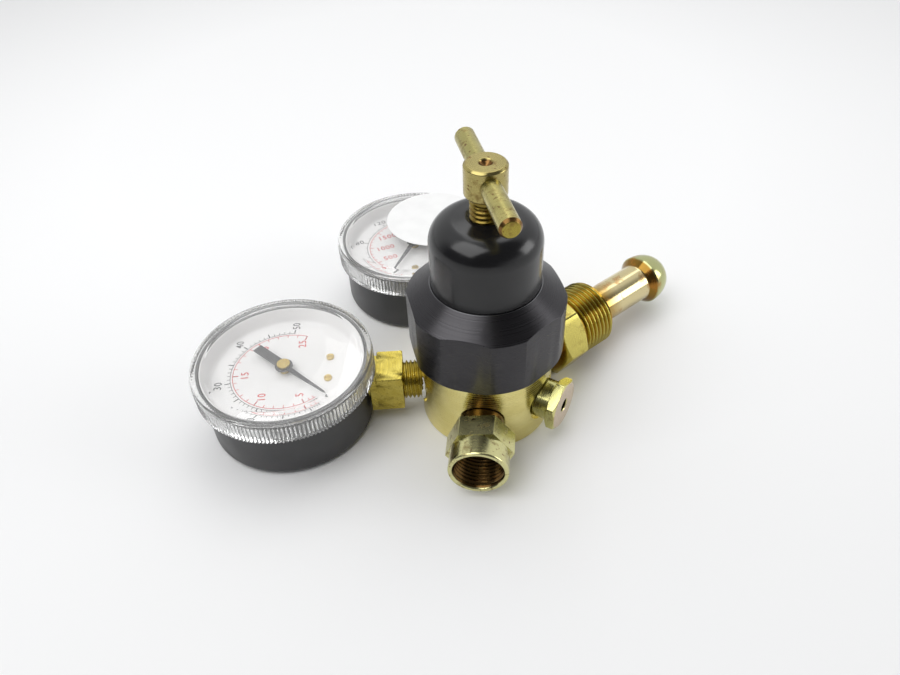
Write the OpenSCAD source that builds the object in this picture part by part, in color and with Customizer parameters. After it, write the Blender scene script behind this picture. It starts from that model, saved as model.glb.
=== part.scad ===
// Compressed-gas flow regulator with a cylinder-pressure gauge and a flow gauge.
// Frame: origin on the body's axis at the centre of its flat base, +Z up along the
// adjusting screw. Every port lies in the plane at port_h and points out from the axis.

/* [Regulator body] */
// Diameter of the round brass body
body_d = 44.45; // [44:0.05:48]
// Height of the plain lower cylinder, up to the shoulder under the ring nut
shoulder_h = 28.5; // [28:0.5:34]
// Height of the threaded neck above the shoulder
neck_h = 12.5; // [10.5:0.5:14]
// Turned edge round the base
base_edge = 0.7; // [0.3:0.1:1.5]
// Height of the port axes above the base
port_h = 13; // [12.8:0.1:14]
// Distance from the axis to the bottom of each port
port_depth_r = 12.8; // [12.4:0.1:13.2]
// Depth of the low-pressure chamber under the diaphragm
chamber_depth = 4; // [3.6:0.2:6]
// Diameter of the low-pressure chamber
chamber_d = 35; // [32:0.5:37]
// Diameter of the high-pressure chamber
hp_d = 10; // [9:0.5:11]
// Height of the high-pressure chamber's floor
hp_floor = 7; // [6:0.5:9]

/* [Port directions] */
// Inlet direction, degrees round from +X
inlet_az = 37; // [34:1:40]
// Outlet direction
outlet_az = -97; // [-99:1:-94]
// Relief valve direction
relief_az = -32.5; // [-35:0.5:-30]
// Flow gauge direction
flow_az = 181; // [178:1:184]
// Cylinder gauge direction
cylinder_az = 110; // [108:1:113]

/* [Ring nut and bonnet] */
// Diameter over the ring nut's turned corners
ring_d = 50.8; // [50:0.1:54]
// Width of the ring nut across its flats
ring_af = 48.4; // [47.5:0.1:50]
// Wall left between the ring nut's flats and its thread
ring_wall = 2.8; // [2.2:0.05:3]
// Height of the ring nut
ring_h = 26.2; // [23:0.2:28]
// Height of the ring nut's straight side
ring_side_h = 20.4; // [17:0.2:21.6]
// Direction of a ring nut corner
ring_corner_az = 42; // [0:1:60]
// Gap between the body's shoulder and the ring nut
ring_gap = 0.5; // [0.3:0.1:1]
// Diameter of the bonnet
bonnet_d = 34.4; // [33.4:0.1:35.4]
// Height of the bonnet above its flange's underside
bonnet_h = 35.6; // [35:0.1:38]
// Radius of the bonnet's rounded shoulder
bonnet_round = 8; // [6:0.5:9]
// Rise of the bonnet's crown above its shoulder
crown_rise = 0.4; // [0.2:0.1:0.8]
// Thickness of the bonnet's clamped flange
flange_t = 4; // [3:0.2:5]
// Diameter of the bonnet's spring bore
spring_bore_d = 27; // [26.6:0.1:28]
// Thickness of the bonnet's crown, which carries the screw thread
crown_t = 7; // [6:0.2:7.8]

/* [Diaphragm] */
// Thickness of the rubber diaphragm
diaphragm_t = 0.8; // [0.6:0.1:1.2]
// Thickness of the slip ring under the bonnet
slip_t = 0.6; // [0.4:0.1:1]
// Diameter of the diaphragm plate
plate_d = 25; // [24:0.5:26]
// Thickness of the diaphragm plate
plate_t = 2.2; // [1.6:0.2:3]
// Diameter of the plate's stud
stud_d = 5; // [4:0.5:6]

/* [Adjusting screw] */
// Major diameter of the adjusting thread
screw_d = 9.525; // [9:0.025:10]
// Pitch of the adjusting thread
screw_pitch = 1.5875; // [1.25:0.0125:1.6]
// Turns from slack to fully in
screw_turns = 4; // [2:1:4]
// Gap left under the hub when the screw is fully in
hub_clearance = 0.85; // [0.5:0.05:2]
// Diameter of the hub
hub_d = 12.7; // [12:0.1:14]
// Height of the hub
hub_h = 10.1; // [9:0.1:12]
// Length of the plain neck under the hub
screw_neck_h = 1.4; // [1:0.1:4]
// Diameter of the plain neck
screw_neck_d = 8.6; // [8:0.1:8.8]
// Diameter of the cross bar
bar_d = 6.35; // [5.5:0.05:7]
// Length of the cross bar
bar_len = 52; // [40:1:70]
// Direction of the cross bar
bar_az = -79.3; // [-90:0.1:90]
// Diameter of the centre hole in the hub
hub_hole_d = 3.9; // [2:0.1:4.2]
// Depth of the centre hole
hub_hole_depth = 1.5; // [0.8:0.1:1.6]

/* [Springs] */
// Wire diameter of the adjusting spring
main_wire = 2.2; // [1.8:0.1:2.3]
// Mean diameter of the adjusting spring
main_coil_d = 20.4; // [19.6:0.1:21]
// Turns of the adjusting spring
main_turns = 5.5; // [4:0.5:5.5]
// Thickness of the spring button's disc
button_t = 4.2; // [3.6:0.2:5]
// Length of the spring button's spigot
button_spigot = 3; // [2:0.5:4]
// Mean diameter of the valve spring
valve_coil_d = 5.2; // [4.8:0.1:6]
// Wire diameter of the valve and relief springs
fine_wire = 0.6; // [0.5:0.05:0.7]

/* [Valve] */
// Diameter of the valve seat's threaded barrel
seat_d = 12.7; // [12:0.1:13.5]
// Length of the valve seat's barrel
seat_len = 12; // [10:0.5:13]
// Width of the valve seat's hexagon
seat_af = 14; // [14:0.5:16]
// Height of the valve seat's hexagon
seat_head_h = 1.4; // [1:0.1:1.6]
// Diameter of the valve orifice
orifice_d = 3; // [2.6:0.1:3.6]
// Diameter of the poppet's head
poppet_d = 6.8; // [6:0.2:7.4]
// Height of the poppet's head
poppet_h = 4.4; // [3:0.2:5]
// Diameter of the poppet's stem
poppet_stem_d = 1.8; // [1.4:0.1:2]
// Travel of the poppet from shut to fully open
valve_travel = 1.2; // [0.6:0.1:1.2]

/* [Inlet] */
// Major diameter of the inlet nut's thread
nut_thread_d = 24.5; // [22:0.1:25]
// Length of the inlet nut's thread
nut_thread_len = 13.8; // [12:0.2:16]
// Width of the inlet nut across its flats
nut_af = 25.4; // [25:0.1:25.6]
// Length of the inlet nut's hexagon
nut_hex_len = 10; // [8:0.2:12]
// Width of the groove at the end of the nut's thread
nut_groove = 1.6; // [1:0.1:2.5]
// Diameter of the nipple's shaft
nipple_d = 14.28; // [13:0.01:15.2]
// Length of the nipple's shaft outside its collar
nipple_len = 51.2; // [45:0.2:60]
// Diameter of the nipple's nose
nose_d = 19; // [18:0.1:20]
// Length of the nose's rounded end
nose_len = 9; // [7:0.2:11]
// Length of the cone behind the nose
nose_cone = 2.8; // [2:0.1:3.6]
// Diameter of the nipple's bore
nipple_bore_d = 5.2; // [4:0.1:6]
// Diameter of the collar between the body and the nut
collar_d = 17.2; // [16:0.1:18]
// Length of that collar
collar_len = 5.2; // [4.6:0.2:6]
// Gap between the collar and the nut
nut_gap = 0.8; // [0.5:0.1:1.5]
// Length of the inlet filter
filter_len = 14; // [8:1:20]

/* [Outlet] */
// Width of the outlet's hexagon across its flats
outlet_af = 19.05; // [18.5:0.05:20]
// Length of the outlet's hexagon
outlet_hex_len = 7.7; // [7:0.1:14]
// Turn of the outlet's hexagon about the port's axis
outlet_turn = 7; // [-30:1:30]
// Diameter of the outlet's round collar
outlet_d = 19; // [18.6:0.1:20]
// Length of the outlet's round collar
outlet_collar_len = 7.3; // [5:0.1:10]
// Major diameter of the outlet's inside thread
mouth_d = 15.88; // [15:0.02:16.2]
// Depth of the outlet's threaded mouth
mouth_depth = 14; // [12:0.2:15]
// Length of the neck between the body and the outlet's hexagon
outlet_neck = 6.4; // [1.8:0.1:7]
// Diameter of the outlet's neck
outlet_neck_d = 14.2; // [13.4:0.1:15]
// Diameter of the metering orifice's body
meter_d = 7.2; // [6:0.1:8]
// Length of the metering orifice's body
meter_len = 3; // [2:0.2:3.6]
// Diameter of the metering hole
meter_hole_d = 0.8; // [0.6:0.1:1.2]

/* [Relief valve] */
// Width of the relief valve's hexagon
relief_af = 15.9; // [14:0.1:17]
// Length of the relief valve's hexagon
relief_hex_len = 3.6; // [2.6:0.1:5]
// Turn of the relief valve's hexagon about the port's axis
relief_turn = -26; // [-30:1:30]
// Diameter of the relief valve's round neck
relief_neck_d = 13.5; // [12:0.1:14]
// Length of the round neck
relief_neck_len = 5; // [4:0.1:7]
// Diameter of the relief valve's thread
relief_thread_d = 9.5; // [9:0.1:10]
// Diameter of the vent hole
vent_d = 4.4; // [3:0.1:5]
// Diameter of the relief valve's inner bore
relief_bore_d = 6.6; // [6:0.1:7]
// Travel of the relief poppet
relief_travel = 0.8; // [0.5:0.1:1.5]

/* [Gauges] */
// Distance from the body's axis to the flow gauge's centre
flow_reach = 68.15; // [66.5:0.05:69]
// Distance from the body's axis to the cylinder gauge's centre
cylinder_reach = 71.75; // [68:0.05:72.5]
// Diameter of the gauge case
case_d = 56.3; // [55:0.1:58]
// Depth of the gauge case
case_depth = 24.8; // [24.4:0.1:26]
// Wall of the gauge case
case_wall = 0.9; // [0.6:0.1:1.2]
// Radius of the case's rounded back edge
case_round = 2.6; // [1.5:0.1:3.4]
// Diameter of the clear lens cap
lens_d = 60.8; // [60:0.1:63]
// Length of the lens cap's skirt below the case's mouth
lens_skirt = 6.3; // [5:0.1:8]
// Height of the lens cap's rim above the case's mouth
lens_rise = 2.4; // [2:0.1:4]
// Rise of the window above the rim
window_rise = 1; // [0.4:0.1:1.6]
// Diameter of the flat window
window_d = 51; // [48:0.5:52]
// Diameter where the window's bevel meets the rim
bevel_d = 56.4; // [55:0.1:58]
// Thickness of the window
window_t = 2.2; // [1.6:0.1:2.4]
// Depth of the dial's flat face below the case's mouth
dial_drop = 5.45; // [5:0.05:5.6]
// Thickness of the dial
dial_t = 0.4; // [0.3:0.1:0.6]
// Diameter of the dial's flat middle
dial_flat_d = 51.4; // [50:0.1:52]
// Diameter over the dial's upturned rim
dial_d = 53.8; // [53:0.1:53.9]
// Height of the dial's upturned rim
dial_rim = 5.3; // [4:0.1:5.4]

/* [Gauge movement] */
// Diameter of the gauge stem's pipe thread
stem_thread_d = 13.2; // [12:0.1:13.6]
// Length of pipe thread that shows between the flow gauge's block and the body
flow_thread_show = 6.3; // [4:0.1:9]
// Length of pipe thread that shows between the cylinder gauge's block and the body
cylinder_thread_show = 9.9; // [6:0.1:13]
// Width of the square wrench block
block_w = 14.3; // [13:0.1:15]
// Diameter of the neck through the case wall
stem_neck_d = 11; // [10:0.1:11.6]
// Height of the socket's top inside the case
socket_top = 13.2; // [12.6:0.1:13.6]
// Radius of the pressure tube's centre line
tube_r = 22; // [21.6:0.1:22.4]
// Width of the pressure tube across its flat section
tube_w = 2.6; // [2:0.1:3]
// Height of the pressure tube's section
tube_h = 6; // [5:0.2:6.4]
// Angle round the case covered by the pressure tube
tube_sweep = 295; // [290:1:300]
// Gear module of the movement
gear_module = 0.3; // [0.28:0.01:0.3]
// Teeth on the pointer's pinion
pinion_teeth = 8; // [8:1:9]
// Teeth of the whole circle that the sector is cut from
sector_teeth = 64; // [60:1:64]
// Length of the sector's tail, from its pivot to the link
tail_r = 4.5; // [4:0.1:5]
// Diameter of the pointer's arbor
arbor_d = 1; // [0.8:0.05:1.1]
// Height of the pointer above the dial
pointer_lift = 2.25; // [1.8:0.05:2.4]
// Length of the pointer from its axis to its tip
pointer_len = 20.6; // [18:0.1:21.5]
// Length of the pointer's tail
tail_len = 13.9; // [8:0.1:15]
// Width of the pointer's tail
tail_w = 3.4; // [2:0.1:4]
// Direction of the pointers at rest, round from the stem
pointer_az = -42.5; // [-50:0.5:-35]
// Travel of the flow pointer, in degrees
flow_travel = 248; // [240:1:256]
// Travel of the cylinder pointer, in degrees
cylinder_travel = 276; // [270:1:280]

/* [Small pieces] */
// Diameter of the round paper sticker
sticker_d = 38.1; // [30:0.1:40]
// Thickness of the sticker
sticker_t = 0.15; // [0.1:0.05:0.3]
// Diameter over the thread tape
tape_d = 14; // [13.6:0.1:14.6]
// Width of the thread tape that shows
tape_w = 1.8; // [1:0.1:2.4]

/* [Fits] */
// Radial clearance of threads and running fits
fit_clr = 0.05; // [0.02:0.01:0.08]
// Radial clearance of the inlet nut on its nipple
nut_clr = 0.1; // [0.05:0.01:0.1]
// Gap between faces that only meet when something moves
touch_gap = 0.1; // [0.05:0.01:0.2]
// Radial clearance between loose curved faces
loose_gap = 0.3; // [0.25:0.05:0.4]

/* [Hidden] */
$fn = 96;

brass = "#b9a14e";
rawBrass = "#c2a03a";
tarnished = "#8f8a4c";
blackMetal = "#2b2b2d";
clearPlastic = "#dfe6e8";
white = "#f2f2f0";
steel = "#b8bcc0";
rubber = "#3a3a3a";
bronze = "#9a6a3a";

// Heights up the axis
seat_z = shoulder_h + neck_h;
chamber_floor = seat_z - chamber_depth;
valve_step = chamber_floor - seat_len;
plate_z = seat_z + diaphragm_t;
flange_z = plate_z + slip_t;
flange_top = flange_z + flange_t;
ring_z = shoulder_h + ring_gap;
ring_top = ring_z + ring_h;
bonnet_top = flange_z + bonnet_h;
ceiling_z = bonnet_top - crown_t;
hub_z = bonnet_top + screw_turns * screw_pitch + hub_clearance;
hub_top = hub_z + hub_h;
bar_z = hub_z + hub_h / 2;
screw_tip = ceiling_z - 3.5;
tip_len = 1;
button_floor = screw_tip - touch_gap;
button_top = button_floor + 1.8;
button_z = button_top - button_t;
spring_z = plate_z + plate_t;
stud_bottom = seat_z - diaphragm_t;
poppet_top = valve_step - touch_gap;
poppet_z = poppet_top - poppet_h;
guide_r = 1.2;
guide_z = hp_floor - 1.5;
guide_floor = guide_z - 2;

// Radii about the axis
body_r = body_d / 2;
neck_r = ring_af / 2 - ring_wall;
bonnet_r = bonnet_d / 2;
ring_r = ring_d / 2;
flange_r = neck_r - 0.5;
seat_ring_r = flange_r - 0.3;
hub_r = hub_d / 2;
spring_inner = (main_coil_d - main_wire) / 2;
spigot_r = spring_inner - 0.5;

// Along each port, measured out from the axis
spot_r = body_r - 1.6;
seat_gap = 0.3;
fitting_r = 6.6;
gallery = 1.2;
collar_start = spot_r + seat_gap;
collar_end = collar_start + collar_len;
shaft_end = collar_end + nipple_len;
nose_start = shaft_end + nose_cone;
nose_end = nose_start + nose_len;
nut_start = collar_end + nut_gap;
nut_thread_start = nut_start + nut_hex_len + nut_groove;
nut_end = nut_thread_start + nut_thread_len;
outlet_hex_start = collar_start + outlet_neck;
outlet_hex_end = outlet_hex_start + outlet_hex_len;
outlet_end = outlet_hex_end + outlet_collar_len;
mouth_start = outlet_end - mouth_depth;
relief_neck_start = spot_r + seat_gap;
relief_hex_start = relief_neck_start + relief_neck_len;
relief_end = relief_hex_start + relief_hex_len;
vent_land = 2;
relief_disc = 2;
relief_seat = port_depth_r + gallery + 1.5;

// Inside each gauge, about its own centre
case_r = case_d / 2;
inner_r = case_r - case_wall;
lens_r = lens_d / 2;
lens_bottom = case_depth - lens_skirt;
lens_top = case_depth + lens_rise;
dial_h = case_depth - dial_drop;
window_top = lens_top + window_rise;
window_under = window_top - window_t;
block_start = case_r + 0.25;
socket_start = 8;
socket_end = 26;
socket_bottom = 4.6;
neck_start = socket_end - 0.5;
post_x = 15.1;
post_y = 5.1;
post_r = 1.8;
dial_screw_r = 0.8;
dial_screw_len = 1.7;
plate_thickness = 0.8;
upper_plate_z = 17.6;
gear_z = 15;
gear_t = 1;
tooth_rise = 0.45 * gear_module;
tooth_drop = 0.72 * gear_module;
pinion_r = gear_module * pinion_teeth / 2;
sector_r = gear_module * sector_teeth / 2;
gear_ratio = sector_teeth / pinion_teeth;
pivot_x = pinion_r + sector_r;
tube_az = -15;
tip_az = 360 + tube_az - tube_sweep;
tip_span = 7;
tail_az = -15.5;
pivot_pin_r = 0.6;
tail_pin = [pivot_x + tail_r * cos(tail_az), tail_r * sin(tail_az)];
tip_pin = tube_r * [cos(tip_az - tip_span / 2), sin(tip_az - tip_span / 2)];
link_z = gear_z + gear_t + 0.3;
link_t = 0.6;
tip_z = socket_bottom + 0.6;
gallery_z = tip_z + tube_h / 2 + 1.4;
pointer_z = dial_h + pointer_lift;
pointer_t = 0.4;
hub_gap = 0.05;

// The sticker's centre, from the cylinder gauge's centre
sticker_x = 8.3;
sticker_y = 7.6;

// ---------- shared shapes ----------

// A solid turned about Z from points given as radius and height
module turned(points) {
    rotate_extrude() polygon(points);
}

// A hexagonal bar standing on Z, with a flat towards -X and +X
module hexBar(af, h) {
    rotate([0, 0, 30]) cylinder(d = af / cos(30), h = h, $fn = 6);
}

// A hexagonal bar whose corners are turned off at 30 degrees at either end
module turnedHex(af, h, low = true) {
    corner = af / cos(30) / 2;
    face = af / 2 - 0.15;
    cut = (corner - face) * tan(30);
    intersection() {
        hexBar(af, h);
        turned(concat(
            low ? [[0, 0], [face, 0], [corner, cut]] : [[0, 0], [corner, 0]],
            [[corner, h - cut], [face, h], [0, h]]
        ));
    }
}

// Puts children on a port's axis: their Z points out, their X points down
module onPort(az) {
    rotate([0, 0, az]) translate([0, 0, port_h]) rotate([0, 90, 0]) children();
}

// Puts children in a gauge's own frame: +X points at the regulator
module onGauge(az, reach) {
    rotate([0, 0, az]) translate([reach, 0, 0]) rotate([0, 0, 180]) children();
}

// A compression spring from z = 0 to z = length, one unbroken round wire
module coilSpring(mean_d, wire, length, turns) {
    sides = 6;
    steps = 12;
    rings = round(turns * steps);
    climb = (length - wire) / rings;
    slope = atan(climb * steps / (PI * mean_d));
    points = [
        for (i = [0 : rings], j = [0 : sides - 1])
            let (a = 360 * i / steps, b = 360 * j / sides,
                 out = mean_d / 2 + wire / 2 * cos(b), up = wire / 2 * sin(b))
            [out * cos(a) + up * sin(slope) * sin(a),
             out * sin(a) - up * sin(slope) * cos(a),
             wire / 2 + climb * i + up * cos(slope)]
    ];
    walls = [
        for (i = [0 : rings - 1], j = [0 : sides - 1])
            let (a = i * sides + j, b = i * sides + (j + 1) % sides)
            each [[a, b, b + sides], [a, b + sides, a + sides]]
    ];
    start = [for (j = [1 : sides - 2]) [0, j + 1, j]];
    last = rings * sides;
    end = [for (j = [1 : sides - 2]) [last, last + j, last + j + 1]];
    polyhedron(points = points, faces = concat(walls, start, end));
}

// ---------- body and valve ----------

// One port: a spot face, a threaded hole and its bottom
module portCut(az, hole_r, face_r) {
    onPort(az) {
        translate([0, 0, port_depth_r]) cylinder(r = hole_r + fit_clr, h = body_r);
        translate([0, 0, spot_r]) cylinder(r = face_r, h = body_r);
    }
}

// A drilling from a port's bottom to the high-pressure chamber
module highDrilling(az) {
    onPort(az) translate([0, 0, hp_d / 4]) cylinder(r = 1.8, h = port_depth_r);
}

// A riser from a port's bottom up to the low-pressure chamber
module lowRiser(az) {
    rotate([0, 0, az]) translate([port_depth_r + 0.8, 0, port_h])
        cylinder(r = 1.2, h = chamber_floor - port_h + 1);
}

module regulator_body() {
    color(brass) difference() {
        turned([
            [0, 0], [body_r - base_edge, 0], [body_r, base_edge],
            [body_r, shoulder_h], [neck_r, shoulder_h], [neck_r, seat_z], [0, seat_z]
        ]);
        translate([0, 0, chamber_floor]) cylinder(d = chamber_d, h = chamber_depth + 1);
        translate([0, 0, valve_step]) cylinder(r = seat_d / 2 + fit_clr, h = seat_len + 1);
        translate([0, 0, hp_floor]) cylinder(d = hp_d, h = valve_step - hp_floor + 1);
        translate([0, 0, guide_floor]) cylinder(r = guide_r + touch_gap, h = hp_floor - guide_floor + 1);
        portCut(inlet_az, fitting_r, collar_d / 2 + 1);
        portCut(outlet_az, fitting_r, outlet_neck_d / 2 + 0.4);
        portCut(relief_az, relief_thread_d / 2, relief_neck_d / 2 + 1.2);
        portCut(flow_az, stem_thread_d / 2, stem_thread_d / 2 + 1.6);
        portCut(cylinder_az, stem_thread_d / 2, stem_thread_d / 2 + 1.6);
        for (az = [inlet_az, cylinder_az]) highDrilling(az);
        for (az = [outlet_az, relief_az, flow_az]) lowRiser(az);
    }
}

module valve_seat() {
    color(rawBrass) translate([0, 0, valve_step]) difference() {
        union() {
            cylinder(d = seat_d, h = seat_len);
            translate([0, 0, seat_len]) turnedHex(seat_af, seat_head_h, low = false);
        }
        translate([0, 0, -1]) cylinder(d = orifice_d, h = seat_len + seat_head_h + 2);
    }
}

module valve_poppet() {
    stem_top = stud_bottom - touch_gap;
    edge = 0.5;
    color(steel) turned([
        [0, guide_z], [guide_r, guide_z], [guide_r, poppet_z],
        [poppet_d / 2, poppet_z], [poppet_d / 2, poppet_top - edge],
        [poppet_d / 2 - edge, poppet_top], [poppet_stem_d / 2, poppet_top],
        [poppet_stem_d / 2, stem_top], [0, stem_top]
    ]);
}

module valve_spring() {
    color(steel) translate([0, 0, hp_floor])
        coilSpring(valve_coil_d, fine_wire, poppet_z - hp_floor, 6);
}

// ---------- diaphragm, bonnet and screw ----------

module diaphragm() {
    color(rubber) translate([0, 0, seat_z]) difference() {
        cylinder(r = seat_ring_r, h = diaphragm_t);
        translate([0, 0, -1]) cylinder(r = stud_d / 2 + fit_clr, h = diaphragm_t + 2);
    }
}

module diaphragm_plate() {
    color(steel) {
        translate([0, 0, stud_bottom]) cylinder(d = stud_d, h = spring_z - stud_bottom);
        translate([0, 0, plate_z]) cylinder(d = plate_d, h = plate_t);
        translate([0, 0, spring_z]) cylinder(r = spigot_r, h = 1.5);
    }
}

module slip_ring() {
    color(brass) translate([0, 0, plate_z]) difference() {
        cylinder(r = seat_ring_r, h = slip_t);
        translate([0, 0, -1]) cylinder(r = plate_d / 2 + 1.5, h = slip_t + 2);
    }
}

module bonnet() {
    shoulder_r = bonnet_r - bonnet_round;
    shoulder_z = bonnet_top - crown_rise - bonnet_round;
    boss_r = screw_d / 2 + 1.2;
    color(blackMetal) difference() {
        turned(concat(
            [[0, flange_z], [flange_r, flange_z], [flange_r, flange_top], [bonnet_r, flange_top]],
            [for (a = [0 : 5 : 90])
                [shoulder_r + bonnet_round * cos(a), shoulder_z + bonnet_round * sin(a)]],
            [[boss_r, bonnet_top], [0, bonnet_top]]
        ));
        translate([0, 0, flange_z - 1]) cylinder(d = spring_bore_d, h = ceiling_z - flange_z + 1);
        translate([0, 0, flange_z]) cylinder(r = screw_d / 2 + fit_clr, h = bonnet_h + 1);
    }
}

module ring_nut() {
    cone_r = bonnet_r + 1;
    edge = 0.8;
    color(blackMetal) difference() {
        intersection() {
            rotate([0, 0, ring_corner_az]) translate([0, 0, ring_z])
                cylinder(d = ring_af / cos(30), h = ring_h, $fn = 6);
            turned([
                [0, ring_z], [ring_r - edge, ring_z], [ring_r, ring_z + edge],
                [ring_r, ring_z + ring_side_h], [cone_r, ring_top], [0, ring_top]
            ]);
        }
        translate([0, 0, ring_z - 1]) cylinder(r = neck_r + fit_clr, h = flange_top - ring_z + 1);
        translate([0, 0, ring_z]) cylinder(r = bonnet_r + 0.15, h = ring_h + 1);
    }
}

module adjusting_spring() {
    color(steel) translate([0, 0, spring_z])
        coilSpring(main_coil_d, main_wire, button_z - spring_z, main_turns);
}

module spring_button() {
    color(steel) difference() {
        union() {
            translate([0, 0, button_z]) cylinder(r = spring_bore_d / 2 - loose_gap, h = button_t);
            translate([0, 0, button_z - button_spigot]) cylinder(r = spigot_r, h = button_spigot);
        }
        translate([0, 0, button_floor]) cylinder(r = screw_d / 2 + loose_gap, h = button_t);
    }
}

module adjusting_screw() {
    tip_r = screw_d / 2 - 1.6;
    edge = 0.6;
    color(tarnished) difference() {
        turned([
            [0, screw_tip], [tip_r, screw_tip], [tip_r, screw_tip + tip_len],
            [screw_d / 2 - edge, screw_tip + tip_len], [screw_d / 2, screw_tip + tip_len + edge],
            [screw_d / 2, hub_z - screw_neck_h - edge], [screw_neck_d / 2, hub_z - screw_neck_h],
            [screw_neck_d / 2, hub_z], [hub_r - edge, hub_z], [hub_r, hub_z + edge],
            [hub_r, hub_top - edge], [hub_r - edge, hub_top], [0, hub_top]
        ]);
        translate([0, 0, hub_top - hub_hole_depth]) cylinder(d = hub_hole_d, h = hub_hole_depth + 1);
        translate([0, 0, bar_z]) rotate([0, 0, bar_az]) rotate([0, 90, 0])
            cylinder(r = bar_d / 2 + fit_clr, h = hub_d + 2, center = true);
    }
}

module tee_bar() {
    edge = 1;
    half = bar_len / 2;
    r = bar_d / 2;
    end_r = r - 0.75;
    color(tarnished) translate([0, 0, bar_z]) rotate([0, 0, bar_az]) rotate([0, 90, 0])
        turned([
            [0, -half], [end_r, -half], [r, edge - half],
            [r, half - edge], [end_r, half], [0, half]
        ]);
}

// ---------- inlet ----------

module inlet_nipple() {
    r = nipple_d / 2;
    bore_r = nipple_bore_d / 2;
    land_r = bore_r + 1.4;
    thread_start = port_depth_r + gallery;
    color(rawBrass) onPort(inlet_az) difference() {
        turned(concat(
            [[0, thread_start], [fitting_r, thread_start], [fitting_r, collar_start],
             [collar_d / 2, collar_start], [collar_d / 2, collar_end], [r, collar_end],
             [r, shaft_end], [nose_d / 2, nose_start]],
            [for (a = [6 : 6 : 84])
                [land_r + (nose_d / 2 - land_r) * cos(a), nose_start + nose_len * sin(a)]],
            [[land_r, nose_end], [0, nose_end]]
        ));
        translate([0, 0, thread_start - 1]) cylinder(r = bore_r, h = nose_end);
    }
}

module inlet_nut() {
    edge = 0.9;
    root_r = nut_thread_d / 2 - 1.1;
    thread_r = nut_thread_d / 2;
    hex_end = nut_start + nut_hex_len;
    color(rawBrass) onPort(inlet_az) difference() {
        union() {
            translate([0, 0, nut_start]) turnedHex(nut_af, nut_hex_len);
            turned([
                [0, nut_start + 1], [root_r, nut_start + 1], [root_r, nut_thread_start - edge],
                [thread_r, nut_thread_start], [thread_r, nut_end - edge],
                [thread_r - edge, nut_end], [0, nut_end]
            ]);
        }
        translate([0, 0, nut_start - 1]) cylinder(r = nipple_d / 2 + nut_clr, h = nut_end - nut_start + 2);
    }
}

module inlet_filter() {
    color(bronze) onPort(inlet_az) translate([0, 0, nose_end - 2 - filter_len])
        cylinder(r = nipple_bore_d / 2 - fit_clr, h = filter_len);
}

// ---------- outlet ----------

module outlet_fitting() {
    thread_start = port_depth_r + gallery + 1;
    mouth_edge = 0.6;
    meter_start = mouth_start - 1 - meter_len;
    color(tarnished) onPort(outlet_az) difference() {
        union() {
            translate([0, 0, thread_start]) cylinder(r = fitting_r, h = collar_start - thread_start + 1);
            translate([0, 0, collar_start]) cylinder(d = outlet_neck_d, h = outlet_neck + 1);
            translate([0, 0, outlet_hex_start]) rotate([0, 0, outlet_turn])
                hexBar(outlet_af, outlet_hex_len);
            translate([0, 0, outlet_hex_end - 1]) cylinder(d = outlet_d, h = outlet_collar_len + 1);
        }
        translate([0, 0, mouth_start]) cylinder(d = mouth_d, h = mouth_depth + 1);
        turned([
            [0, outlet_end - mouth_edge], [mouth_d / 2, outlet_end - mouth_edge],
            [mouth_d / 2 + mouth_edge, outlet_end], [mouth_d / 2 + mouth_edge, outlet_end + 1],
            [0, outlet_end + 1]
        ]);
        translate([0, 0, meter_start]) cylinder(r = meter_d / 2 + fit_clr, h = mouth_depth);
        translate([0, 0, thread_start - 1]) cylinder(r = meter_d / 2 - 1.1, h = mouth_depth);
    }
}

module metering_orifice() {
    color(brass) onPort(outlet_az) translate([0, 0, mouth_start - 1 - meter_len]) difference() {
        cylinder(d = meter_d, h = meter_len);
        translate([0, 0, -1]) cylinder(d = meter_hole_d, h = meter_len + 2);
        translate([0, 0, meter_len - 1]) cylinder(r = 1, h = 2);
    }
}

// ---------- relief valve ----------

module relief_body() {
    thread_start = port_depth_r + gallery;
    color(brass) onPort(relief_az) difference() {
        union() {
            translate([0, 0, thread_start])
                cylinder(d = relief_thread_d, h = relief_neck_start - thread_start + 1);
            translate([0, 0, relief_neck_start]) cylinder(d = relief_neck_d, h = relief_neck_len);
            translate([0, 0, relief_hex_start]) rotate([0, 0, relief_turn])
                turnedHex(relief_af, relief_hex_len);
        }
        translate([0, 0, relief_seat]) cylinder(d = relief_bore_d, h = relief_end - vent_land - relief_seat);
        translate([0, 0, relief_seat]) cylinder(d = vent_d, h = relief_end);
        translate([0, 0, thread_start - 1]) cylinder(r = 1.2, h = 3);
    }
}

module relief_poppet() {
    r = relief_bore_d / 2 - touch_gap;
    face = relief_seat + touch_gap;
    color(steel) onPort(relief_az) turned([
        [0, face], [r, face], [r, face + relief_disc], [1, face + relief_disc],
        [1, face + relief_disc + 4], [0, face + relief_disc + 4]
    ]);
}

module relief_spring() {
    start = relief_seat + touch_gap + relief_disc;
    color(steel) onPort(relief_az) translate([0, 0, start])
        coilSpring(relief_bore_d - fine_wire - 0.8, fine_wire, relief_end - vent_land - start, 5);
}

// ---------- gauges ----------

module gaugeCase() {
    color(blackMetal) difference() {
        turned(concat(
            [[0, 0]],
            [for (a = [-90 : 10 : 0])
                [case_r - case_round + case_round * cos(a), case_round + case_round * sin(a)]],
            [[case_r, case_depth], [0, case_depth]]
        ));
        turned(concat(
            [[0, case_wall]],
            [for (a = [-90 : 10 : 0])
                [inner_r - case_round + case_round * cos(a), case_wall + case_round + case_round * sin(a)]],
            [[inner_r, case_depth + 1], [0, case_depth + 1]]
        ));
        translate([0, 0, port_h]) rotate([0, 90, 0]) cylinder(r = stem_neck_d / 2 + fit_clr, h = case_r + 1);
    }
}

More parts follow.
